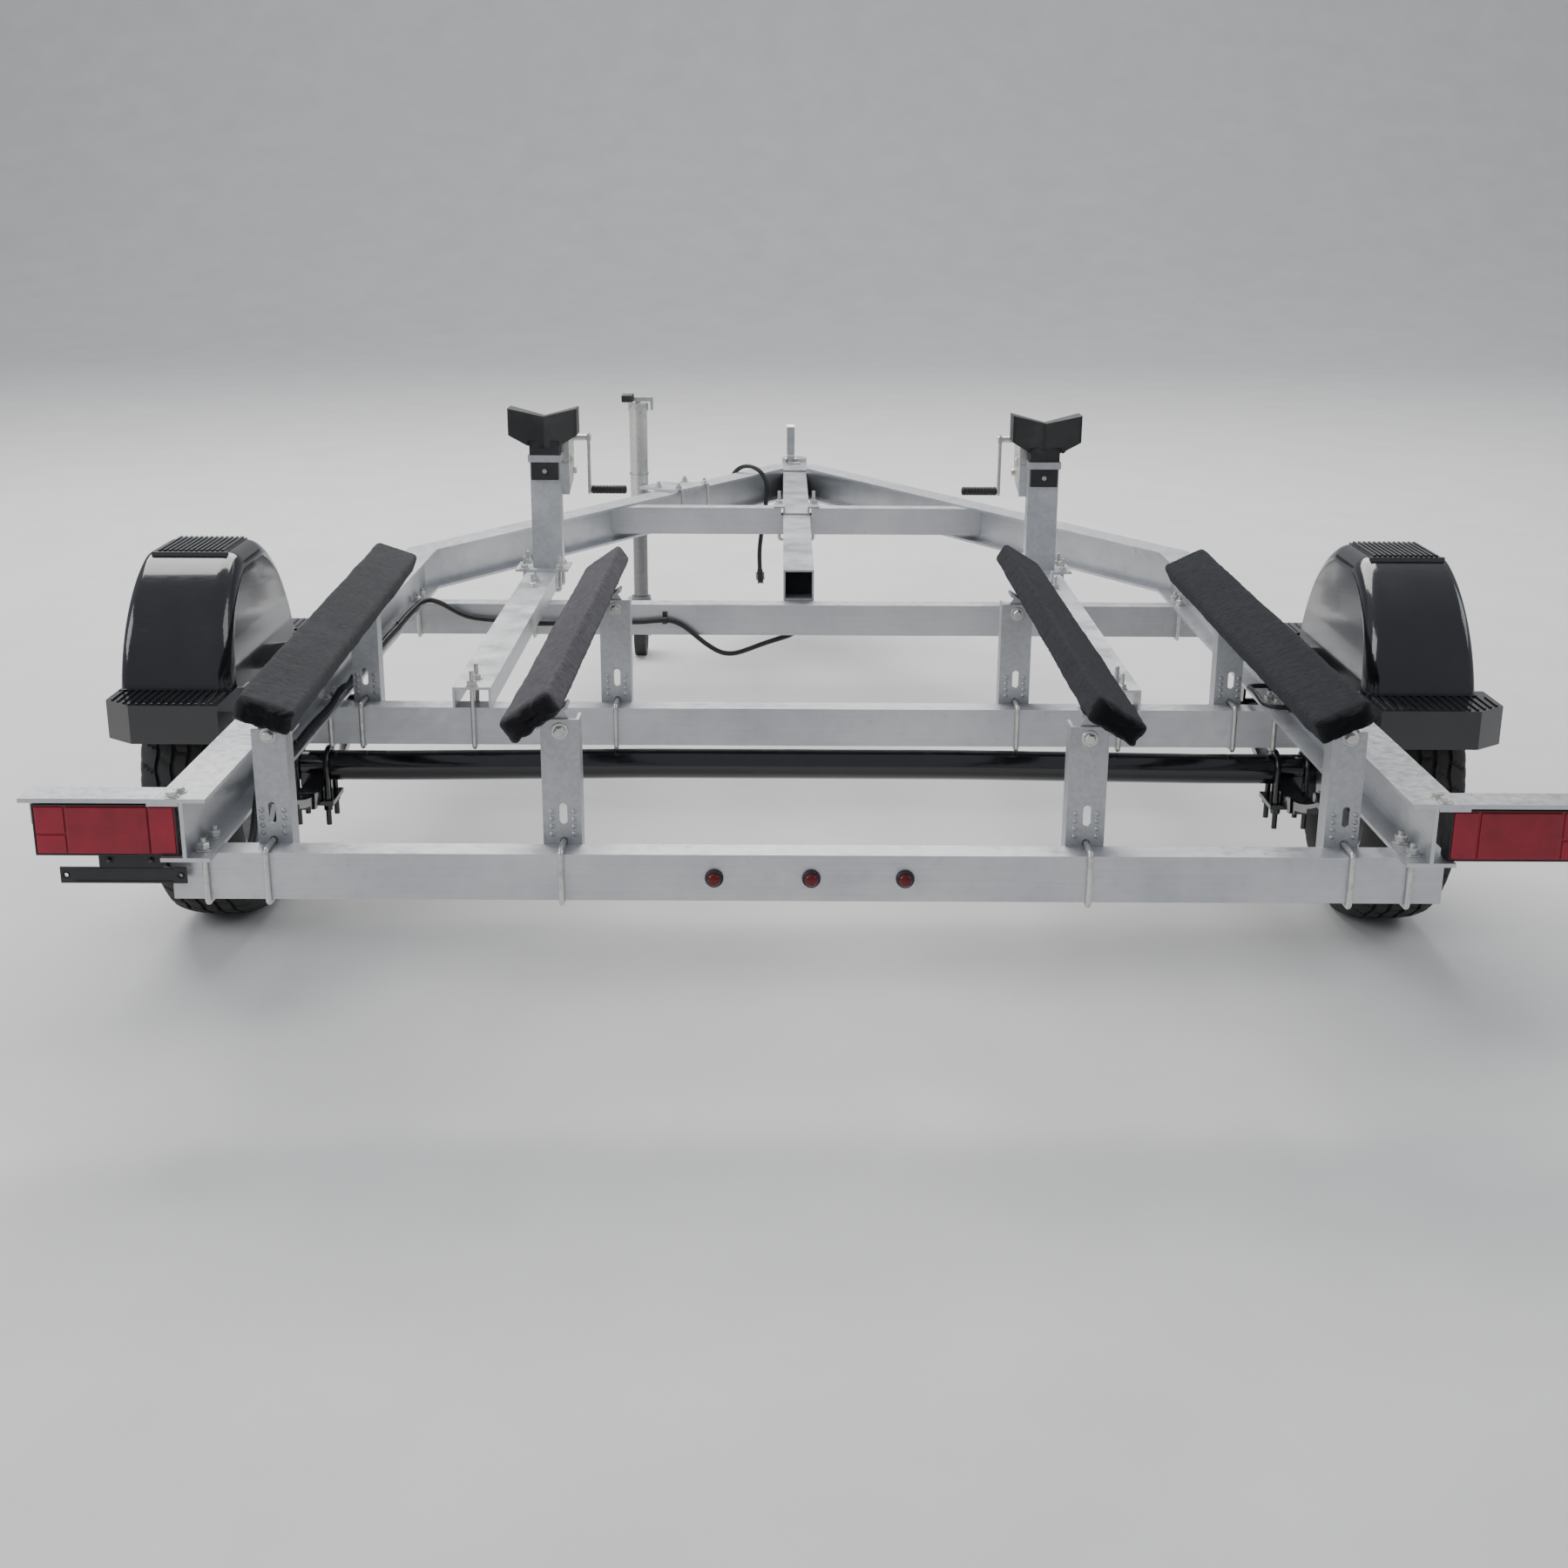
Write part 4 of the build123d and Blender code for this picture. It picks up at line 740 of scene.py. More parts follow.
# ------------------------------------------------------------------ tyres with a tread
def tyre(side, s):
    xc = s * 1160.0
    # cross-section offsets and radii across the tread, then the wall down to the bead
    wall = [(-86.4, 240), (-86.9, 252), (-84, 268), (-81, 276), (-77.5, 283), (-73, 289)]
    wall_in = [(-52, 166.2), (-53.6, 174), (-54.2, 181), (-60, 185), (-66.4, 190), (-69, 192), (-71, 195.5), (-75, 200), (-80, 208.5), (-80.6, 210.5), (-82.6, 213.5), (-84.6, 222), (-85.8, 231)]
    grooves = [-43.5, -14.5, 14.5, 43.5]
    xs = []
    x = -68.0
    while x <= 68.01:
        xs.append(round(x, 2)); x += 4.0
    for g in grooves:
        xs += [g - 4.2, g - 3.2, g + 3.2, g + 4.2]
        xs = [q for q in xs if not (g - 3.1 < q < g + 3.1)]
    xs = sorted(set(xs))
    nth = 360
    v, f = [], []
    half = wall_in + wall
    prof = half + [(x, None) for x in xs] + [(-a, b) for a, b in half[::-1]]
    m = len(prof)
    for i in range(nth):
        a = 2 * math.pi * i / nth
        for x, r in prof:
            xx = x
            if r is None:
                r = 299.2 - 9.0 * (abs(x) / 70.0) ** 3.2
                wob = 2.0 * math.sin(a * 30) if abs(x) < 60 else 0
                xx = x + wob
                inside = any(abs(x - g) <= 3.25 for g in grooves)
                if inside:
                    r -= 7.0
                else:
                    block = int((x + 72) // 29)
                    ph = (i + block * 3 + int(abs(x) / 9) * (1 if x > 0 else -1)) % 9
                    if ph == 0:
                        r -= 5.0 if abs(x) > 46 else 3.2
            else:
                if abs(x) > 70 and r > 262:
                    if (i % 6) < 2:
                        r -= 2.2
                elif 209 < r < 212:
                    xx = x
            v.append((xc + xx, AX_Y + r * math.sin(a), AX_Z + r * math.cos(a)))
    for i in range(nth):
        j = (i + 1) % nth
        for k in range(m - 1):
            f.append((i * m + k, i * m + k + 1, j * m + k + 1, j * m + k))
        f.append((i * m + m - 1, i * m, j * m, j * m + m - 1))
    me = D.meshes.new("tyre_tread_" + side)
    me.from_pydata([(a / 1000, b / 1000, max(c, 0.35) / 1000) for a, b, c in v], [], f)
    me.update()
    bm = bmesh.new(); bm.from_mesh(me); bmesh.ops.recalc_face_normals(bm, faces=bm.faces); bm.to_mesh(me); bm.free()
    me.polygons.foreach_set("use_smooth", [True] * len(me.polygons))
    me.set_sharp_from_angle(angle=math.radians(38))
    me.materials.append(TYRE)
    ob = D.objects.new("tyre_tread_" + side, me)
    COL.objects.link(ob)
    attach(ob, "wheel_" + side)
    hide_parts("tyre_" + side)


for side, s in (("left", -1), ("right", 1)):
    tyre(side, s)
    w = Piece()
    xc = s * 1160.0
    for k in range(5):
        a = 2 * math.pi * k / 5
        p = Vector((xc + s * 22, AX_Y + 57 * math.sin(a), AX_Z + 57 * math.cos(a)))
        w.lathe([(11.2, 0), (10.4, 2.2), (9.6, 3.0)], along(p, (s, 0, 0)), seg=24)
        hexhead(w, p + Vector((s * 3, 0, 0)), (s, 0, 0), 19, 13)
        w.lathe([(7.6, 0), (6.2, 2.6), (2.5, 4.2)], along(p + Vector((s * 16, 0, 0)), (s, 0, 0)), seg=20)
        q = Vector((xc + s * 2, AX_Y + 57 * math.sin(a), AX_Z + 57 * math.cos(a)))
        w.lathe([(8.5, 0), (8.5, 2.4), (7.0, 3.6)], along(q, (-s, 0, 0)), seg=20)
    w.make("wheel_nuts_" + side, ZINC, "wheel_" + side, "zinc")
    c = Piece()
    hx = Vector((xc + s * 62, AX_Y, AX_Z))
    c.lathe([(24.2, -9.8), (24.9, -9), (24.9, -7), (24.1, -6)], along(hx, (s, 0, 0)), seg=48)
    c.lathe([(20, 0), (19.4, 0.9), (12, 1.8), (3, 2.2)], along(hx, (s, 0, 0)), seg=40)
    c.make("hub_cap_" + side, ZINC, "wheel_" + side, "zinc")
    vs = Piece()
    vd = Vector((s * 0.55, 0.0, -0.83)).normalized()
    vp = Vector((xc + s * 50, AX_Y, AX_Z + 152))
    vs.lathe([(5.6, -2), (5.4, 2), (3.8, 4), (3.8, 20), (4.4, 21), (4.4, 30), (3.4, 31.5)], along(vp, vd), seg=18)
    vs.make("valve_stem_" + side, RUBBER, "wheel_" + side, "rubber")

# ------------------------------------------------------------------ fenders: step pads, ribs and seams
FY, FR, FZC, FTOP = -1065.0, 257.0, 505.0, 752.0
STAY_Y = -1045.0
for side, s, FX0, FX1 in (("left", -1, 1050.0, 1261.0), ("right", 1, 1030.0, 1239.0)):
    p = Piece()
    X = lambda a, b, s=s: sorted((s * a, s * b))
    # raised pad with fore-aft ribs; a short step down at its rear edge
    a, b = X(FX0 + 42, FX1 - 34)
    p.box(a, b, FY - 82, FY + 74, FTOP - 6, FTOP + 1.4)
    p.box(a - 4, b + 4, FY - 88, FY - 79, FTOP - 9, FTOP + 2.2)
    n = 13
    for i in range(n):
        c = a + 8 + (b - a - 16) * i / (n - 1)
        p.box(c - 2.4, c + 2.4, FY - 77, FY + 70, FTOP + 1.2, FTOP + 5.0)
    # ledges: ribs running fore and aft
    for e in (-1, 1):
        for i in range(15):
            c = FX0 + 12 + (1249.0 - FX0 - 12) * i / 14
            y0, y1 = sorted((FY + e * (FR + 6), FY + e * (365 - 8 - max(0, (c - 1209.0) * 0.77))))
            a2, b2 = X(c - 2.2, c + 2.2)
            if y1 - y0 > 14:
                p.box(a2, b2, y0, y1, 527.4, 530.6)
    p.make("fender_treads_" + side, GLOSS, "frame", "fender_plastic", bevel=0.6)
    # a bead where the arch meets the ledge
    r = Piece()
    for e in (-1, 1):
        yy = FY + e * (FR + 0.5)
        a2, b2 = X(FX0 + 3, FX1 - 3)
        r.box(a2, b2, yy - 2.2, yy + 2.2, 527.5, 531)
    r.make("fender_bead_" + side, GLOSS, "frame", "fender_plastic", bevel=0.8)
    # bolts holding the fender to its stays, with washers, on the wheel side
    fb = Piece()
    for dy in (-190 + 20, 190 + 20):
        for z in (480, 502):
            bolt_head(fb, (s * (FX0 + 4.2), STAY_Y + dy, z), (s, 0, 0), 12.5, 5.0, 10)
            bolt_head(fb, (s * (BEAM_X - 3.2), STAY_Y + dy, z), (-s, 0, 0), 12.5, 5.0, 10)
    fb.make("fender_bolts_" + side, ZINC, "frame", "zinc")

# ------------------------------------------------------------------ bunk posts: dimples, bolts and nuts
POSTS = [("outer_left", -842, -875, -3), ("inner_left", -388, -374, 2), ("inner_right", 438, 425, 2), ("outer_right", 844, 855, 5)]
dim, hw = Piece(), Piece()
for k, pr, pf, ox in POSTS:
    xr, xf, z, tilt, yr, yf = BUNKS[k]
    t = math.radians(tilt)
    u, n = (math.cos(t), math.sin(t)), (-math.sin(t), math.cos(t))
    for cm, xp in (("rear", pr), ("axle", pf)):
        yb = CM_Y[cm] + CM_D + 0.25
        xb = xr + (yb - yr) / (yf - yr) * (xf - xr)
        kk = -(22.5 + (18.0 if k.startswith("outer") else 27.0))
        su = (xp - (xb + kk * n[0])) / u[0]
        pz = z + kk * n[1] + su * u[1]
        for col in (-17.5, 17.5):
            for r in range(4):
                zc = 440.5 + 12.3 * r
                dim.lathe([(4.3, -0.4), (4.1, 0.7), (3.1, 1.9), (1.2, 2.6)], along((xp + ox * 0.5 + col, yb, zc), (0, -1, 0)), seg=16)
        bolt_head(hw, (xp, yb, pz), (0, -1, 0), 16.0, 7.0, 13.5)
        nut_stack(hw, (xp, yb + 9.2, pz), (0, 1, 0), 5.0, 6.0, 12)
        # the U-bolt's two nuts in front of the post
        for zz in (Z_CM + 5.1, Z_CM - CM_H - 5.1):
            nut_stack(hw, (xp + ox, yb + 5.2, zz), (0, 1, 0), 4.5, 8.0, 10.5)
dim.make("post_dimples", GALV, "frame", "galvanised")

# ------------------------------------------------------------------ nuts and bolts of the frame
for x in (-940, 940):
    for cm in CM_Y:
        for yy in (CM_Y[cm] - 5.2, CM_Y[cm] + CM_D + 5.2):
            washer(hw, (x, yy, Z_CM + 6.5), (0, 0, 1), 12.5)
            washer(hw, (x, yy, Z_CM + 8.3), (0, 0, 1), 8.6, 2.0)
            hexhead(hw, (x, yy, Z_CM + 10.3), (0, 0, 1), 17, 9)
            stud(hw, (x, yy, Z_CM + 19.0), (0, 0, 1), 4.55, 7.8)
for side in ("left", "right"):
    x = RAIL_X[side]
    for cm in ("axle", "mid"):
        for yy in (CM_Y[cm] - 5.2, CM_Y[cm] + CM_D + 5.2):
            washer(hw, (x, yy, RAIL_Z + 0.1), (0, 0, 1), 12.5)
            hexhead(hw, (x, yy, RAIL_Z + 1.9), (0, 0, 1), 17, 9)
            stud(hw, (x, yy, RAIL_Z + 10.6), (0, 0, 1), 4.55, 22)
    for q in (-1, 1):
        for yy in (POST_Y - 18, POST_Y + 62):
            px = x + q * 45
            washer(hw, (px, yy, RAIL_Z + 6.1), (0, 0, 1), 12.5)
            hexhead(hw, (px, yy, RAIL_Z + 7.9), (0, 0, 1), 17, 9)
            stud(hw, (px, yy, RAIL_Z + 16), (0, 0, 1), 4.75, 21)
    # bolt through the bow stop's foot
    xp = POST_X[side]
    bolt_head(hw, (xp, POST_Y - 10.8, 722 if side == "left" else 710), (0, -1, 0), 8.5, 4.0, 6)
# light bars on the beams
for s in (-1, 1):
    for xx, yy in ((973, REAR_Y + 12), (969, REAR_Y + 35)):
        washer(hw, (s * xx, yy, ZF + 0.05), (0, 0, 1), 12)
        hexhead(hw, (s * xx, yy, ZF + 1.8), (0, 0, 1), 16, 6.5)
hw.make("frame_fasteners", ZINC, "frame", "zinc")

# fasteners of the axle: black nuts below the tie plates, hanger bolt heads
ax = Piece()
for x in (-980, 980):
    for q in (-1, 1):
        for e in (-1, 1):
            px, py = x + q * 29.5, AX_Y + e * 36
            washer(ax, (px, py, 228.5), (0, 0, -1), 10)
            hexhead(ax, (px, py, 226.7), (0, 0, -1), 17, 9.5)
            stud(ax, (px, py, 217.4), (0, 0, -1), 5.6, 29)
    for e in (-1, 1):
        for q in (-1, 1):
            p = (x + q * 28.6, AX_Y + e * 330, 344)
            washer(ax, p, (q, 0, 0), 12)
            hexhead(ax, (p[0] + q * 1.8, p[1], p[2]), (q, 0, 0), 18, 7.6)
    # rebound clips round the leaves
    for e in (-1, 1):
        yy = AX_Y + e * 118
        zz = 262 + 118 ** 2 / (2 * 754.0)
        m = Matrix.Translation((x, yy, zz - 12)) @ Matrix.Rotation(e * 118 / 754.0, 4, "X")
        ax.box(-26, 26, -11, 11, -13.6, -11.4, m); ax.box(-26, -23.2, -11, 11, -13, 18, m); ax.box(23.2, 26, -11, 11, -13, 18, m)
        ax.box(-26, 26, -3.5, 3.5, 14.6, 18, m)
ax.make("axle_fasteners", BLACK, "frame", "black_steel", bevel=0.4)

# weld beads where the spring seats meet the axle
wl = Piece()
for x in (-980, 980):
    for q in (-1, 1):
        for i in range(13):
            a = math.radians(200 + 140 * i / 12)
            c = Vector((x + q * 25, AX_Y + 31.2 * math.cos(a), AX_Z + 31.2 * math.sin(a)))
            if c.z < 291:
                wl.lathe([(0.5, -1.6), (2.6, -0.8), (3.0, 0.3), (1.8, 1.6), (0.4, 2.1)], along(c, (q, 0, 0)), seg=8)
wl.make("axle_welds", BLACK, "frame", "black_steel")

# ------------------------------------------------------------------ tail lights
for s in (-1, 1):
    side = "left" if s < 0 else "right"
    a, b = sorted((s * 969, s * 1190)) if s < 0 else (986, 1207)
    y0 = REAR_Y + 11
    lp_ = Piece()
    x0, x1, z0, z1 = a + 3.0, b - 3.0, 433.5, 510.7
    # raised panels of the lens: two stacked squares outboard, a broad centre, a side panel inboard
    o0, o1 = (x0, x0 + 46) if s < 0 else (x1 - 46, x1)
    i0, i1 = (x1 - 38, x1) if s < 0 else (x0, x0 + 38)
    c0, c1 = (o1 + 3, i0 - 3) if s < 0 else (i1 + 3, o0 - 3)
    zs = z0 + (z1 - z0) * 0.42
    lp_.box(o0 + 1, o1, y0 - 2.2, y0 + 1, zs + 1.6, z1 - 1)
    lp_.box(o0 + 1, o1, y0 - 2.2, y0 + 1, z0 + 1, zs - 1.6)
    lp_.box(i0, i1 - 1, y0 - 2.2, y0 + 1, z0 + 1, z1 - 1)
    lp_.make("lens_panels_" + side, RED, "frame", "red_lens", bevel=1.4)
    cp = Piece()
    cp.box(c0, c1, y0 - 3.0, y0 + 1, z0 + 1, z1 - 1)
    cp.make("lens_centre_" + side, RED_D, "frame", "red_lens", bevel=1.8)
    rim = Piece()
    rim.box(a, b, REAR_Y + 9.6, REAR_Y + 23, 430.8, 433); rim.box(a, b, REAR_Y + 9.6, REAR_Y + 23, 511.2, 513.4)
    rim.box(a, a + 2.5, REAR_Y + 9.6, REAR_Y + 23, 433, 511.2); rim.box(b - 2.5, b, REAR_Y + 9.6, REAR_Y + 23, 433, 511.2)
    rim.make("light_rim_" + side, PLASTIC, "frame", "black_plastic", bevel=0.5)
    tb = Piece()
    for xx in (a + 40, b - 40):
        nut_stack(tb, (xx, REAR_Y + 51.1, 500), (0, 1, 0), 3.2, 5, 8)
    tb.make("light_nuts_" + side, ZINC, "frame", "zinc")

# identification lights: black bases and rims round small domed lenses
ib, il = Piece(), Piece()
for x in (-147, 5, 152):
    yy = CM_Y["rear"] - 0.25
    ib.lathe([(14.6, 0), (14.6, 3.0), (13.6, 4.4), (13.4, 7.4), (10.6, 7.6)], along((x, yy, 386), (0, -1, 0)), seg=40, cap=False)
    il.lathe([(10.4, 7.0), (10.2, 11.4), (8.6, 13.2), (5.6, 14.6), (2.4, 15.2), (0.3, 15.3)], along((x, yy, 386), (0, -1, 0)), seg=36)
ib.make("id_light_rims", RUBBER, "frame", "rubber")
il.make("id_light_domes", RED_I, "frame", "red_lens")

# plate bracket: two blank slots at one end, screws at the other
pb = Piece()
# dark rings round the two slots: painted shade
for x, z in ((-1152.9, 393), (-975.1, 393)):
    pb.lathe([(5.6, 0), (5.4, 0.7), (3.7, 0.8)], along((x, REAR_Y + 26, z), (0, -1, 0)), seg=24, cap=False)
pb.make("plate_bracket_slot_shade", PAINTED_SHADE, "frame", "black_plastic")
sc = Piece()
for x in (-1084, -1019):
    bolt_head(sc, (x, REAR_Y + 26, 418), (0, -1, 0), 7.5, 3.0, 5.2)
sc.make("plate_bracket_screws", BLACK, "frame", "black_steel")
pr_ = Piece()
pr_.box(-1140, -988, REAR_Y + 24.6, REAR_Y + 26.2, 401.5, 405); pr_.box(-1140, -988, REAR_Y + 24.6, REAR_Y + 26.2, 381, 384)
pr_.make("plate_bracket_ribs", PLASTIC, "frame", "black_plastic", bevel=0.4)

# ------------------------------------------------------------------ tongue: bracket bolts, coupler details
tg = Piece()
for s in (-1, 1):
    ux, uy, uz = s * 50.0, 844 + CM_D + 6.0, 443 + CM_H + 5.3
    washer(tg, (ux, uy, uz), (0, 0, 1), 11.5)
    hexhead(tg, (ux, uy, uz + 1.8), (0, 0, 1), 17, 9)
    stud(tg, (ux, uy, uz + 10.6), (0, 0, 1), 5.1, 24)
    for yy in (1728, 1768, 1802):
        bolt_head(tg, (s * 45.1, yy, 466), (s, 0, 0), 15, 6.5, 12)
for yy in (24, 48):
    bolt_head(tg, ((yy - 36) * 1.1, CM_Y["mid"] + CM_D + yy + 4, Z_CM - 5.1), (0, 0, -1), 14, 6, 11)
bolt_head(tg, (0.1, 1892, 516), (1, 0, 0), 10, 4, 7)
bolt_head(tg, (-26.1, 1892, 516), (-1, 0, 0), 10, 4, 7)
tg.make("tongue_bolts", ZINC, "frame", "zinc")
cd = Piece()
cd.lathe([(40, 0), (38, 5), (30, 8.6), (18, 10.6), (4, 11.2)], along((0, 1927, 505.5), (0, 0, 1)), seg=48)
cd.box(-20, 20, 1838, 1868, 506.0, 511.5)
cd.make("coupler_dome", GALV, "frame", "galvanised", bevel=1.2)
# dark sheet inside the tongue tube's rear end: painted shade of the open tube's interior
td = Piece()
td.box(-33.1, 33.1, 60, 64, 429, 495)
td.make("tongue_tube_shade_sheet", PAINTED_SHADE, "frame", "black_plastic")

# ------------------------------------------------------------------ winches: toothed gears, wound strap, crank grips
WIN_Y, WIN_Z = 288.0, 790.0
DY, DZ = WIN_Y - 22.0, WIN_Z - 53.3


def gear(pc, x0, x1, cy, cz, r, teeth, phase=0.0):
    seg = teeth * 4
    v = []
    for x in (x0, x1):
        for k in range(seg):
            a = 2 * math.pi * (k / 4 + phase) / teeth
            rr = r if k % 4 in (0, 1) else r - 3.6
            v.append((x, cy + rr * math.sin(a), cz + rr * math.cos(a)))
    f = [(k, (k + 1) % seg, seg + (k + 1) % seg, seg + k) for k in range(seg)]
    f += [tuple(range(seg))[::-1], tuple(range(seg, 2 * seg))]
    pc.add(v, f)


for side, s in (("left", 1), ("right", -1)):
    x = POST_X[side]
    g = Piece()
    gear(g, *sorted((x + s * 37, x + s * 45)), DY, DZ, 44.9, 34)
    for xa, xb, rr in ((-25, -22, 39), (31, 34, 39)):
        g.lathe([(rr, 0), (rr, abs(xb - xa))], along((x + s * min(xa, xb), DY, DZ), (s, 0, 0)), seg=48)
    g.lathe([(20, 0), (20, 60)], along((x - s * 23, DY, DZ), (s, 0, 0)), seg=32)
    g.lathe([(10, 0), (10, 102), (8.6, 104)], along((x - s * 42, DY, DZ), (s, 0, 0)), seg=24)
    og = g.make("winch_gear_" + side, ZINC, "winch_drum_" + side, "zinc", bevel=0.3)
    st = Piece()
    # strap wound in a spiral of flat turns
    turns, seg, th = 6.6, 64, 1.9
    v, f = [], []
    nn = int(turns * seg)
    for i in range(nn + 1):
        a = 2 * math.pi * i / seg
        r = 23.0 + th * i / seg
        for rr, xx in ((r, -20.5), (r, 29.5), (r + th * 0.9, 29.5), (r + th * 0.9, -20.5)):
            v.append((x + s * xx, DY + rr * math.sin(a), DZ + rr * math.cos(a)))
        if i:
            o = (i - 1) * 4
            for k in range(4):
                j = (k + 1) % 4
                f.append((o + k, o + j, o + 4 + j, o + 4 + k))
    f += [(0, 1, 2, 3), tuple(range(nn * 4, nn * 4 + 4))[::-1]]
    st.add(v, f)
    os_ = st.make("winch_strap_" + side, STRAP, "winch_drum_" + side, "strap")
    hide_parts("winch_drum_" + side)
    c = Piece()
    X = lambda v_: x + s * v_
    c.lathe([(7.2, 0), (8.0, 0.8), (8.0, 145), (7.0, 146)], along((X(-42), WIN_Y, WIN_Z), (s, 0, 0)), seg=28)
    gear(c, *sorted((X(36), X(46))), WIN_Y, WIN_Z, 12.2, 9, 0.5)
    # flat arm with round ends
    arm = []
    for zz, hwid in ((13, 8), (8, 12.4), (-6, 12.8), (-30, 10.5), (-104, 10.0), (-128, 12.4), (-140, 11), (-145.5, 6)):
        arm.append((zz, hwid))
    v, f = [], []
    for xx in (96, 103):
        for zz, h_ in arm:
            v += [(X(xx), WIN_Y - h_, WIN_Z + zz), (X(xx), WIN_Y + h_, WIN_Z + zz)]
    na = len(arm)
    for k in range(na - 1):
        a0 = 2 * k
        f.append((a0, a0 + 1, a0 + 3, a0 + 2))
        b0 = 2 * na + 2 * k
        f.append((b0, b0 + 2, b0 + 3, b0 + 1))
        f.append((a0, a0 + 2, b0 + 2, b0)); f.append((a0 + 1, b0 + 1, b0 + 3, a0 + 3))
    f += [(0, 2 * na, 2 * na + 1, 1), (2 * na - 2, 2 * na - 1, 4 * na - 1, 4 * na - 2)]
    c.add(v, f)
    hexhead(c, (X(98), WIN_Y, WIN_Z), (s, 0, 0), 18, 7.6)
    c.lathe([(5.8, 0), (5.8, 10)], along((X(98), WIN_Y, WIN_Z - 134), (s, 0, 0)), seg=20)
    oc = c.make("winch_arm_" + side, ZINC, "winch_crank_" + side, "zinc", bevel=0.5)
    gr = Piece()
    prof = [(7, 0), (10.4, 1.5), (11.4, 4)]
    for i in range(9):
        prof += [(11.4, 8 + i * 8.6), (10.5, 10 + i * 8.6), (10.5, 12 + i * 8.6), (11.4, 14 + i * 8.6)]
    prof += [(11.3, 87), (9.6, 90.5), (5, 91.8)]
    gr.lathe(prof, along((X(104), WIN_Y, WIN_Z - 134), (s, 0, 0)), seg=28)
    og2 = gr.make("winch_grip_" + side, RUBBER, "winch_crank_" + side, "rubber")
    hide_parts("winch_crank_" + side)
    # side plate bushes, spacer nuts, ratchet pawl
    wf = Piece()
    for xo, q in ((X(-36.1), -s), (X(56.1), s)):
        for cy, cz, rr in ((WIN_Y, WIN_Z, 13), (DY, DZ, 15)):
            wf.lathe([(rr, 0), (rr, 2.0), (rr * 0.86, 3.0)], along((xo, cy, cz), (q, 0, 0)), seg=32)
        hexhead(wf, (xo, POST_Y + 166, 700), (q, 0, 0), 17, 7)
    wf.box(*sorted((X(56.2), X(60.2))), WIN_Y - 46, WIN_Y - 18, WIN_Z + 6, WIN_Z + 16)
    wf.lathe([(7, 0), (7, 6), (5.5, 7)], along((X(56), WIN_Y - 42, WIN_Z + 11), (s, 0, 0)), seg=20)
    wf.make("winch_fittings_" + side, ZINC, "frame", "zinc", bevel=0.4)

# ------------------------------------------------------------------ jack
JT, OFF = 1150.0, 145.0
JW = Vector((-BEAM_X + SLOPE * (JT - 139.0), JT, 0))
J = JW + N * OFF


def jat(o, t, z):
    return JW + N * o + U * t + Vector((0, 0, z))


jm = Piece()
for t in (-51, 90):
    for o in (-34, 38):
        nut_stack(jm, jat(o, t, 534.1), (0, 0, 1), 4.8, 8, 12)
    for o in (-34, 30):
        hexhead(jm, jat(o, t, 415.9), (0, 0, -1), 15, 8)
    jm.lathe([(4.8, 0), (4.8, 118)], along(jat(-42.6 - 5, t, 416), (0, 0, 1)), seg=18)
    jm.lathe([(4.8, 0), (4.8, 118)], along(jat(44.6 + 5, t, 416), (0, 0, 1)), seg=18)
jm.make("jack_clamp_bolts", ZINC, "frame", "zinc")
jp = Piece()
# pull pin position on the swivel, which is not drawn, and a ring of six dots
pp = jat(60, 0, 475)
# six near-black dots in a ring on the swivel: painted shade of its holes
for k in range(6):
    a = math.pi * k / 3
    jp.lathe([(3.0, 0), (2.4, 1.2)], along(jat(108.5, 28 * math.cos(a), 475 + 28 * math.sin(a)), N), seg=12)
jp.make("jack_swivel_hole_shade", PAINTED_SHADE, "frame", "galvanised")
jb = Piece()
for z0, h in ((401, 10), (560, 7)):
    jb.lathe([(26.0, 0), (29.2, 0), (29.6, 1), (29.6, h - 1), (29.2, h), (26.0, h), (26.0, 0)], along((J.x, J.y, z0), (0, 0, 1)), seg=48, cap=False)
for k in range(4):
    a = math.pi / 4 + math.pi * k / 2
    jb.lathe([(3.2, 0), (3.0, 2.0), (2, 2.4)], along((J.x + 31 * math.cos(a), J.y + 31 * math.sin(a), 768), (math.cos(a), math.sin(a), 0)), seg=14)
jb.make("jack_bands", GALV, "jack", "galvanised")
jg = Piece()
jg.box(J.x - 44.6, J.x - 11.4, J.y - 75, J.y - 9, 785.4, 806.6)
for k in range(5):
    jg.box(J.x - 45.4, J.x - 10.6, J.y - 66 + 11 * k, J.y - 60 + 11 * k, 784.8, 807.2)
jg.make("jack_grip", PLASTIC, "jack", "black_plastic", bevel=5.0)
jf = Piece()
for q in (-1, 1):
    hexhead(jf, (J.x + q * 31.2, J.y - 24, 75), (q, 0, 0), 16, 6.5)
jf.make("jack_axle_nuts", ZINC, "jack_caster", "zinc")
jw = Piece()
for q in (-1, 1):
    for k in range(6):
        a = math.pi * k / 3
        m = Matrix.Translation((J.x + q * 18.2, J.y - 24, 75)) @ Matrix.Rotation(a, 4, "X")
        jw.box(-1.4, 1.4, -3, 3, 18, 58, m)
    jw.lathe([(60.5, 0), (60, 1.4), (56.5, 1.6), (56, 0)], along((J.x + q * 18, J.y - 24, 75), (q, 0, 0)), seg=64, cap=False)
jw.make("jack_wheel_ribs", PLASTIC, "jack_wheel", "black_plastic", bevel=0.4)

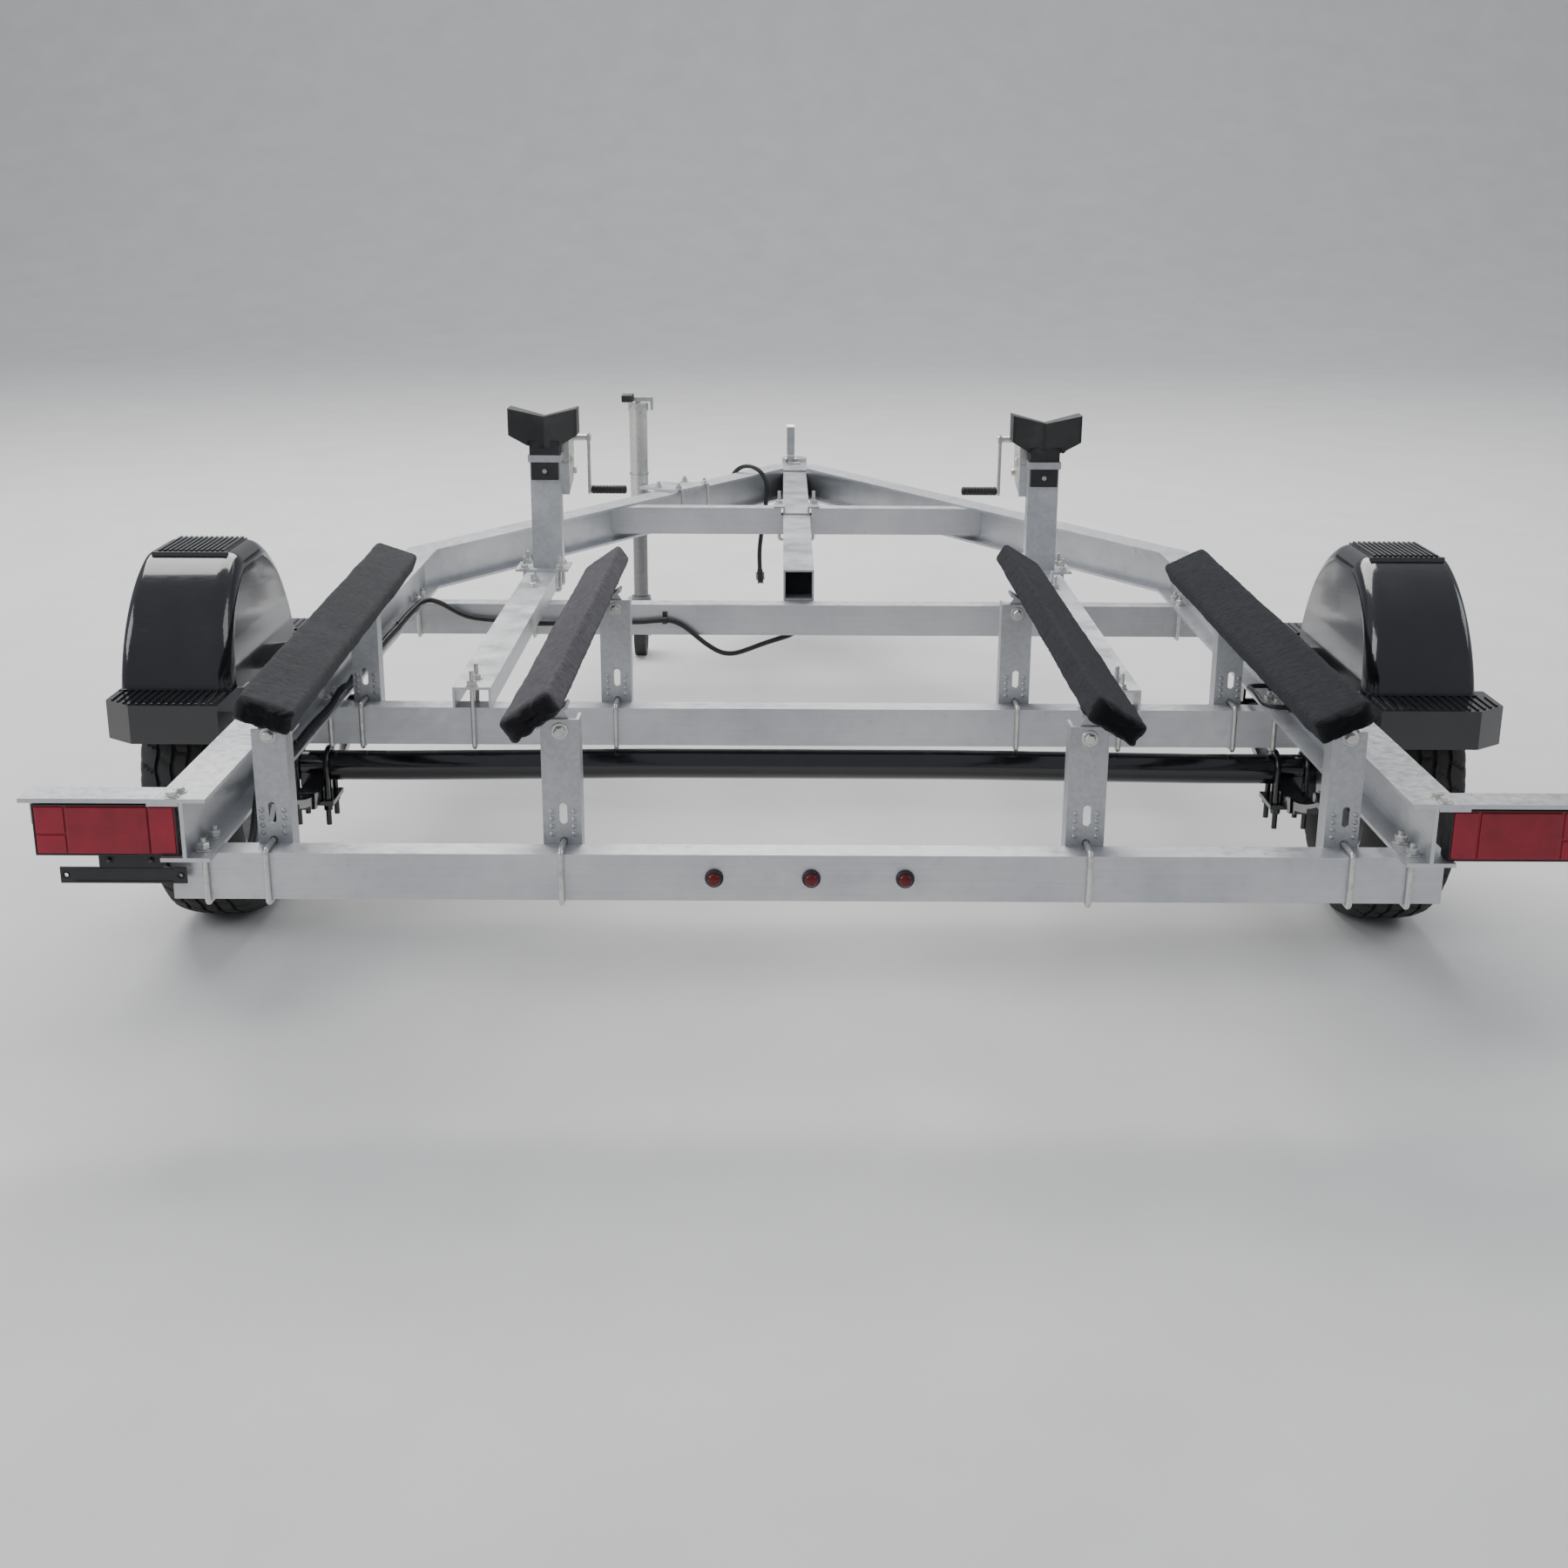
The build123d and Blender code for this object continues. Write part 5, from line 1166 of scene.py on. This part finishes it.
# ------------------------------------------------------------------ ties on the loom
tie = Piece()
samples = resample(raw, 2.0)
for target in (-1640, -1370, -880, -630, -370):
    c = min(samples, key=lambda p: abs(p.y - target) + (0 if p.x < -915 else 500))
    i = samples.index(c)
    d = (samples[i + 1] - samples[i - 1]).normalized()
    tie.lathe([(6.8, -2.2), (7.4, -1.8), (7.4, 1.8), (6.8, 2.2)], along(c, d), seg=24, cap=False)
    tie.box(c.x - 2.5, c.x + 2.5, c.y - 3, c.y + 3, c.z + 6.4, c.z + 10.5)
tie.make("cable_ties", PLASTIC, "frame", "black_plastic")

# ------------------------------------------------------------------ floor and light
fl = D.meshes.new("floor")
prof = [(-30.0, 0.0), (11.0, 0.0)] + [(11.0 + 9.0 * math.sin(math.radians(a)), 9.0 - 9.0 * math.cos(math.radians(a))) for a in range(3, 91, 3)] + [(20.0, 22.0)]
fl.from_pydata([(x, yy, zz) for yy, zz in prof for x in (-40, 40)], [], [(2 * i, 2 * i + 1, 2 * i + 3, 2 * i + 2) for i in range(len(prof) - 1)])
fl.polygons.foreach_set("use_smooth", [True] * len(fl.polygons))
fo = D.objects.new("floor", fl)
COL.objects.link(fo)
FM = Mat("floor_pale", (0.62, 0.61, 0.60), rough=0.85)
FM.color(FM.ramp(FM.noise(freq=3, detail=4), [(0.3, (0.60, 0.595, 0.585)), (0.7, (0.645, 0.64, 0.63))]))
fl.materials.append(FM.m)
fo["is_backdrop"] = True

world = D.worlds.new("studio")
bpy.context.scene.world = world
world.use_nodes = True
world.node_tree.nodes["Background"].inputs["Color"].default_value = (0.86, 0.91, 1.0, 1)
world.node_tree.nodes["Background"].inputs["Strength"].default_value = 0.50


def area(name, loc, target, size, power, color=(1, 1, 1)):
    l = D.lights.new(name, "AREA")
    l.shape, l.size, l.size_y, l.energy, l.color = "RECTANGLE", size[0], size[1], power, color
    o = D.objects.new(name, l)
    COL.objects.link(o)
    o.location = loc
    o.rotation_euler = (Vector(target) - Vector(loc)).to_track_quat("-Z", "Y").to_euler()


area("key", (-1.4, 3.4, 6.6), (0, -0.6, 0.4), (8.0, 5.0), 860, (1.0, 0.985, 0.96))
area("backdrop", (0, 6.5, 8.5), (0, 13, 1.0), (14.0, 3.0), 620, (0.97, 0.98, 1.0))
area("side", (-5.0, -3.5, 3.6), (0, -0.6, 0.4), (3.4, 3.0), 150, (0.95, 0.97, 1.0))
area("fill", (5.6, -1.4, 4.2), (0, -0.8, 0.4), (4.0, 3.0), 100, (0.93, 0.96, 1.0))

bpy.context.view_layer.update()
{"cad": [list(map(float, c)) for c in CAD_BOX], "visual": [list(map(float, c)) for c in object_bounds()]}
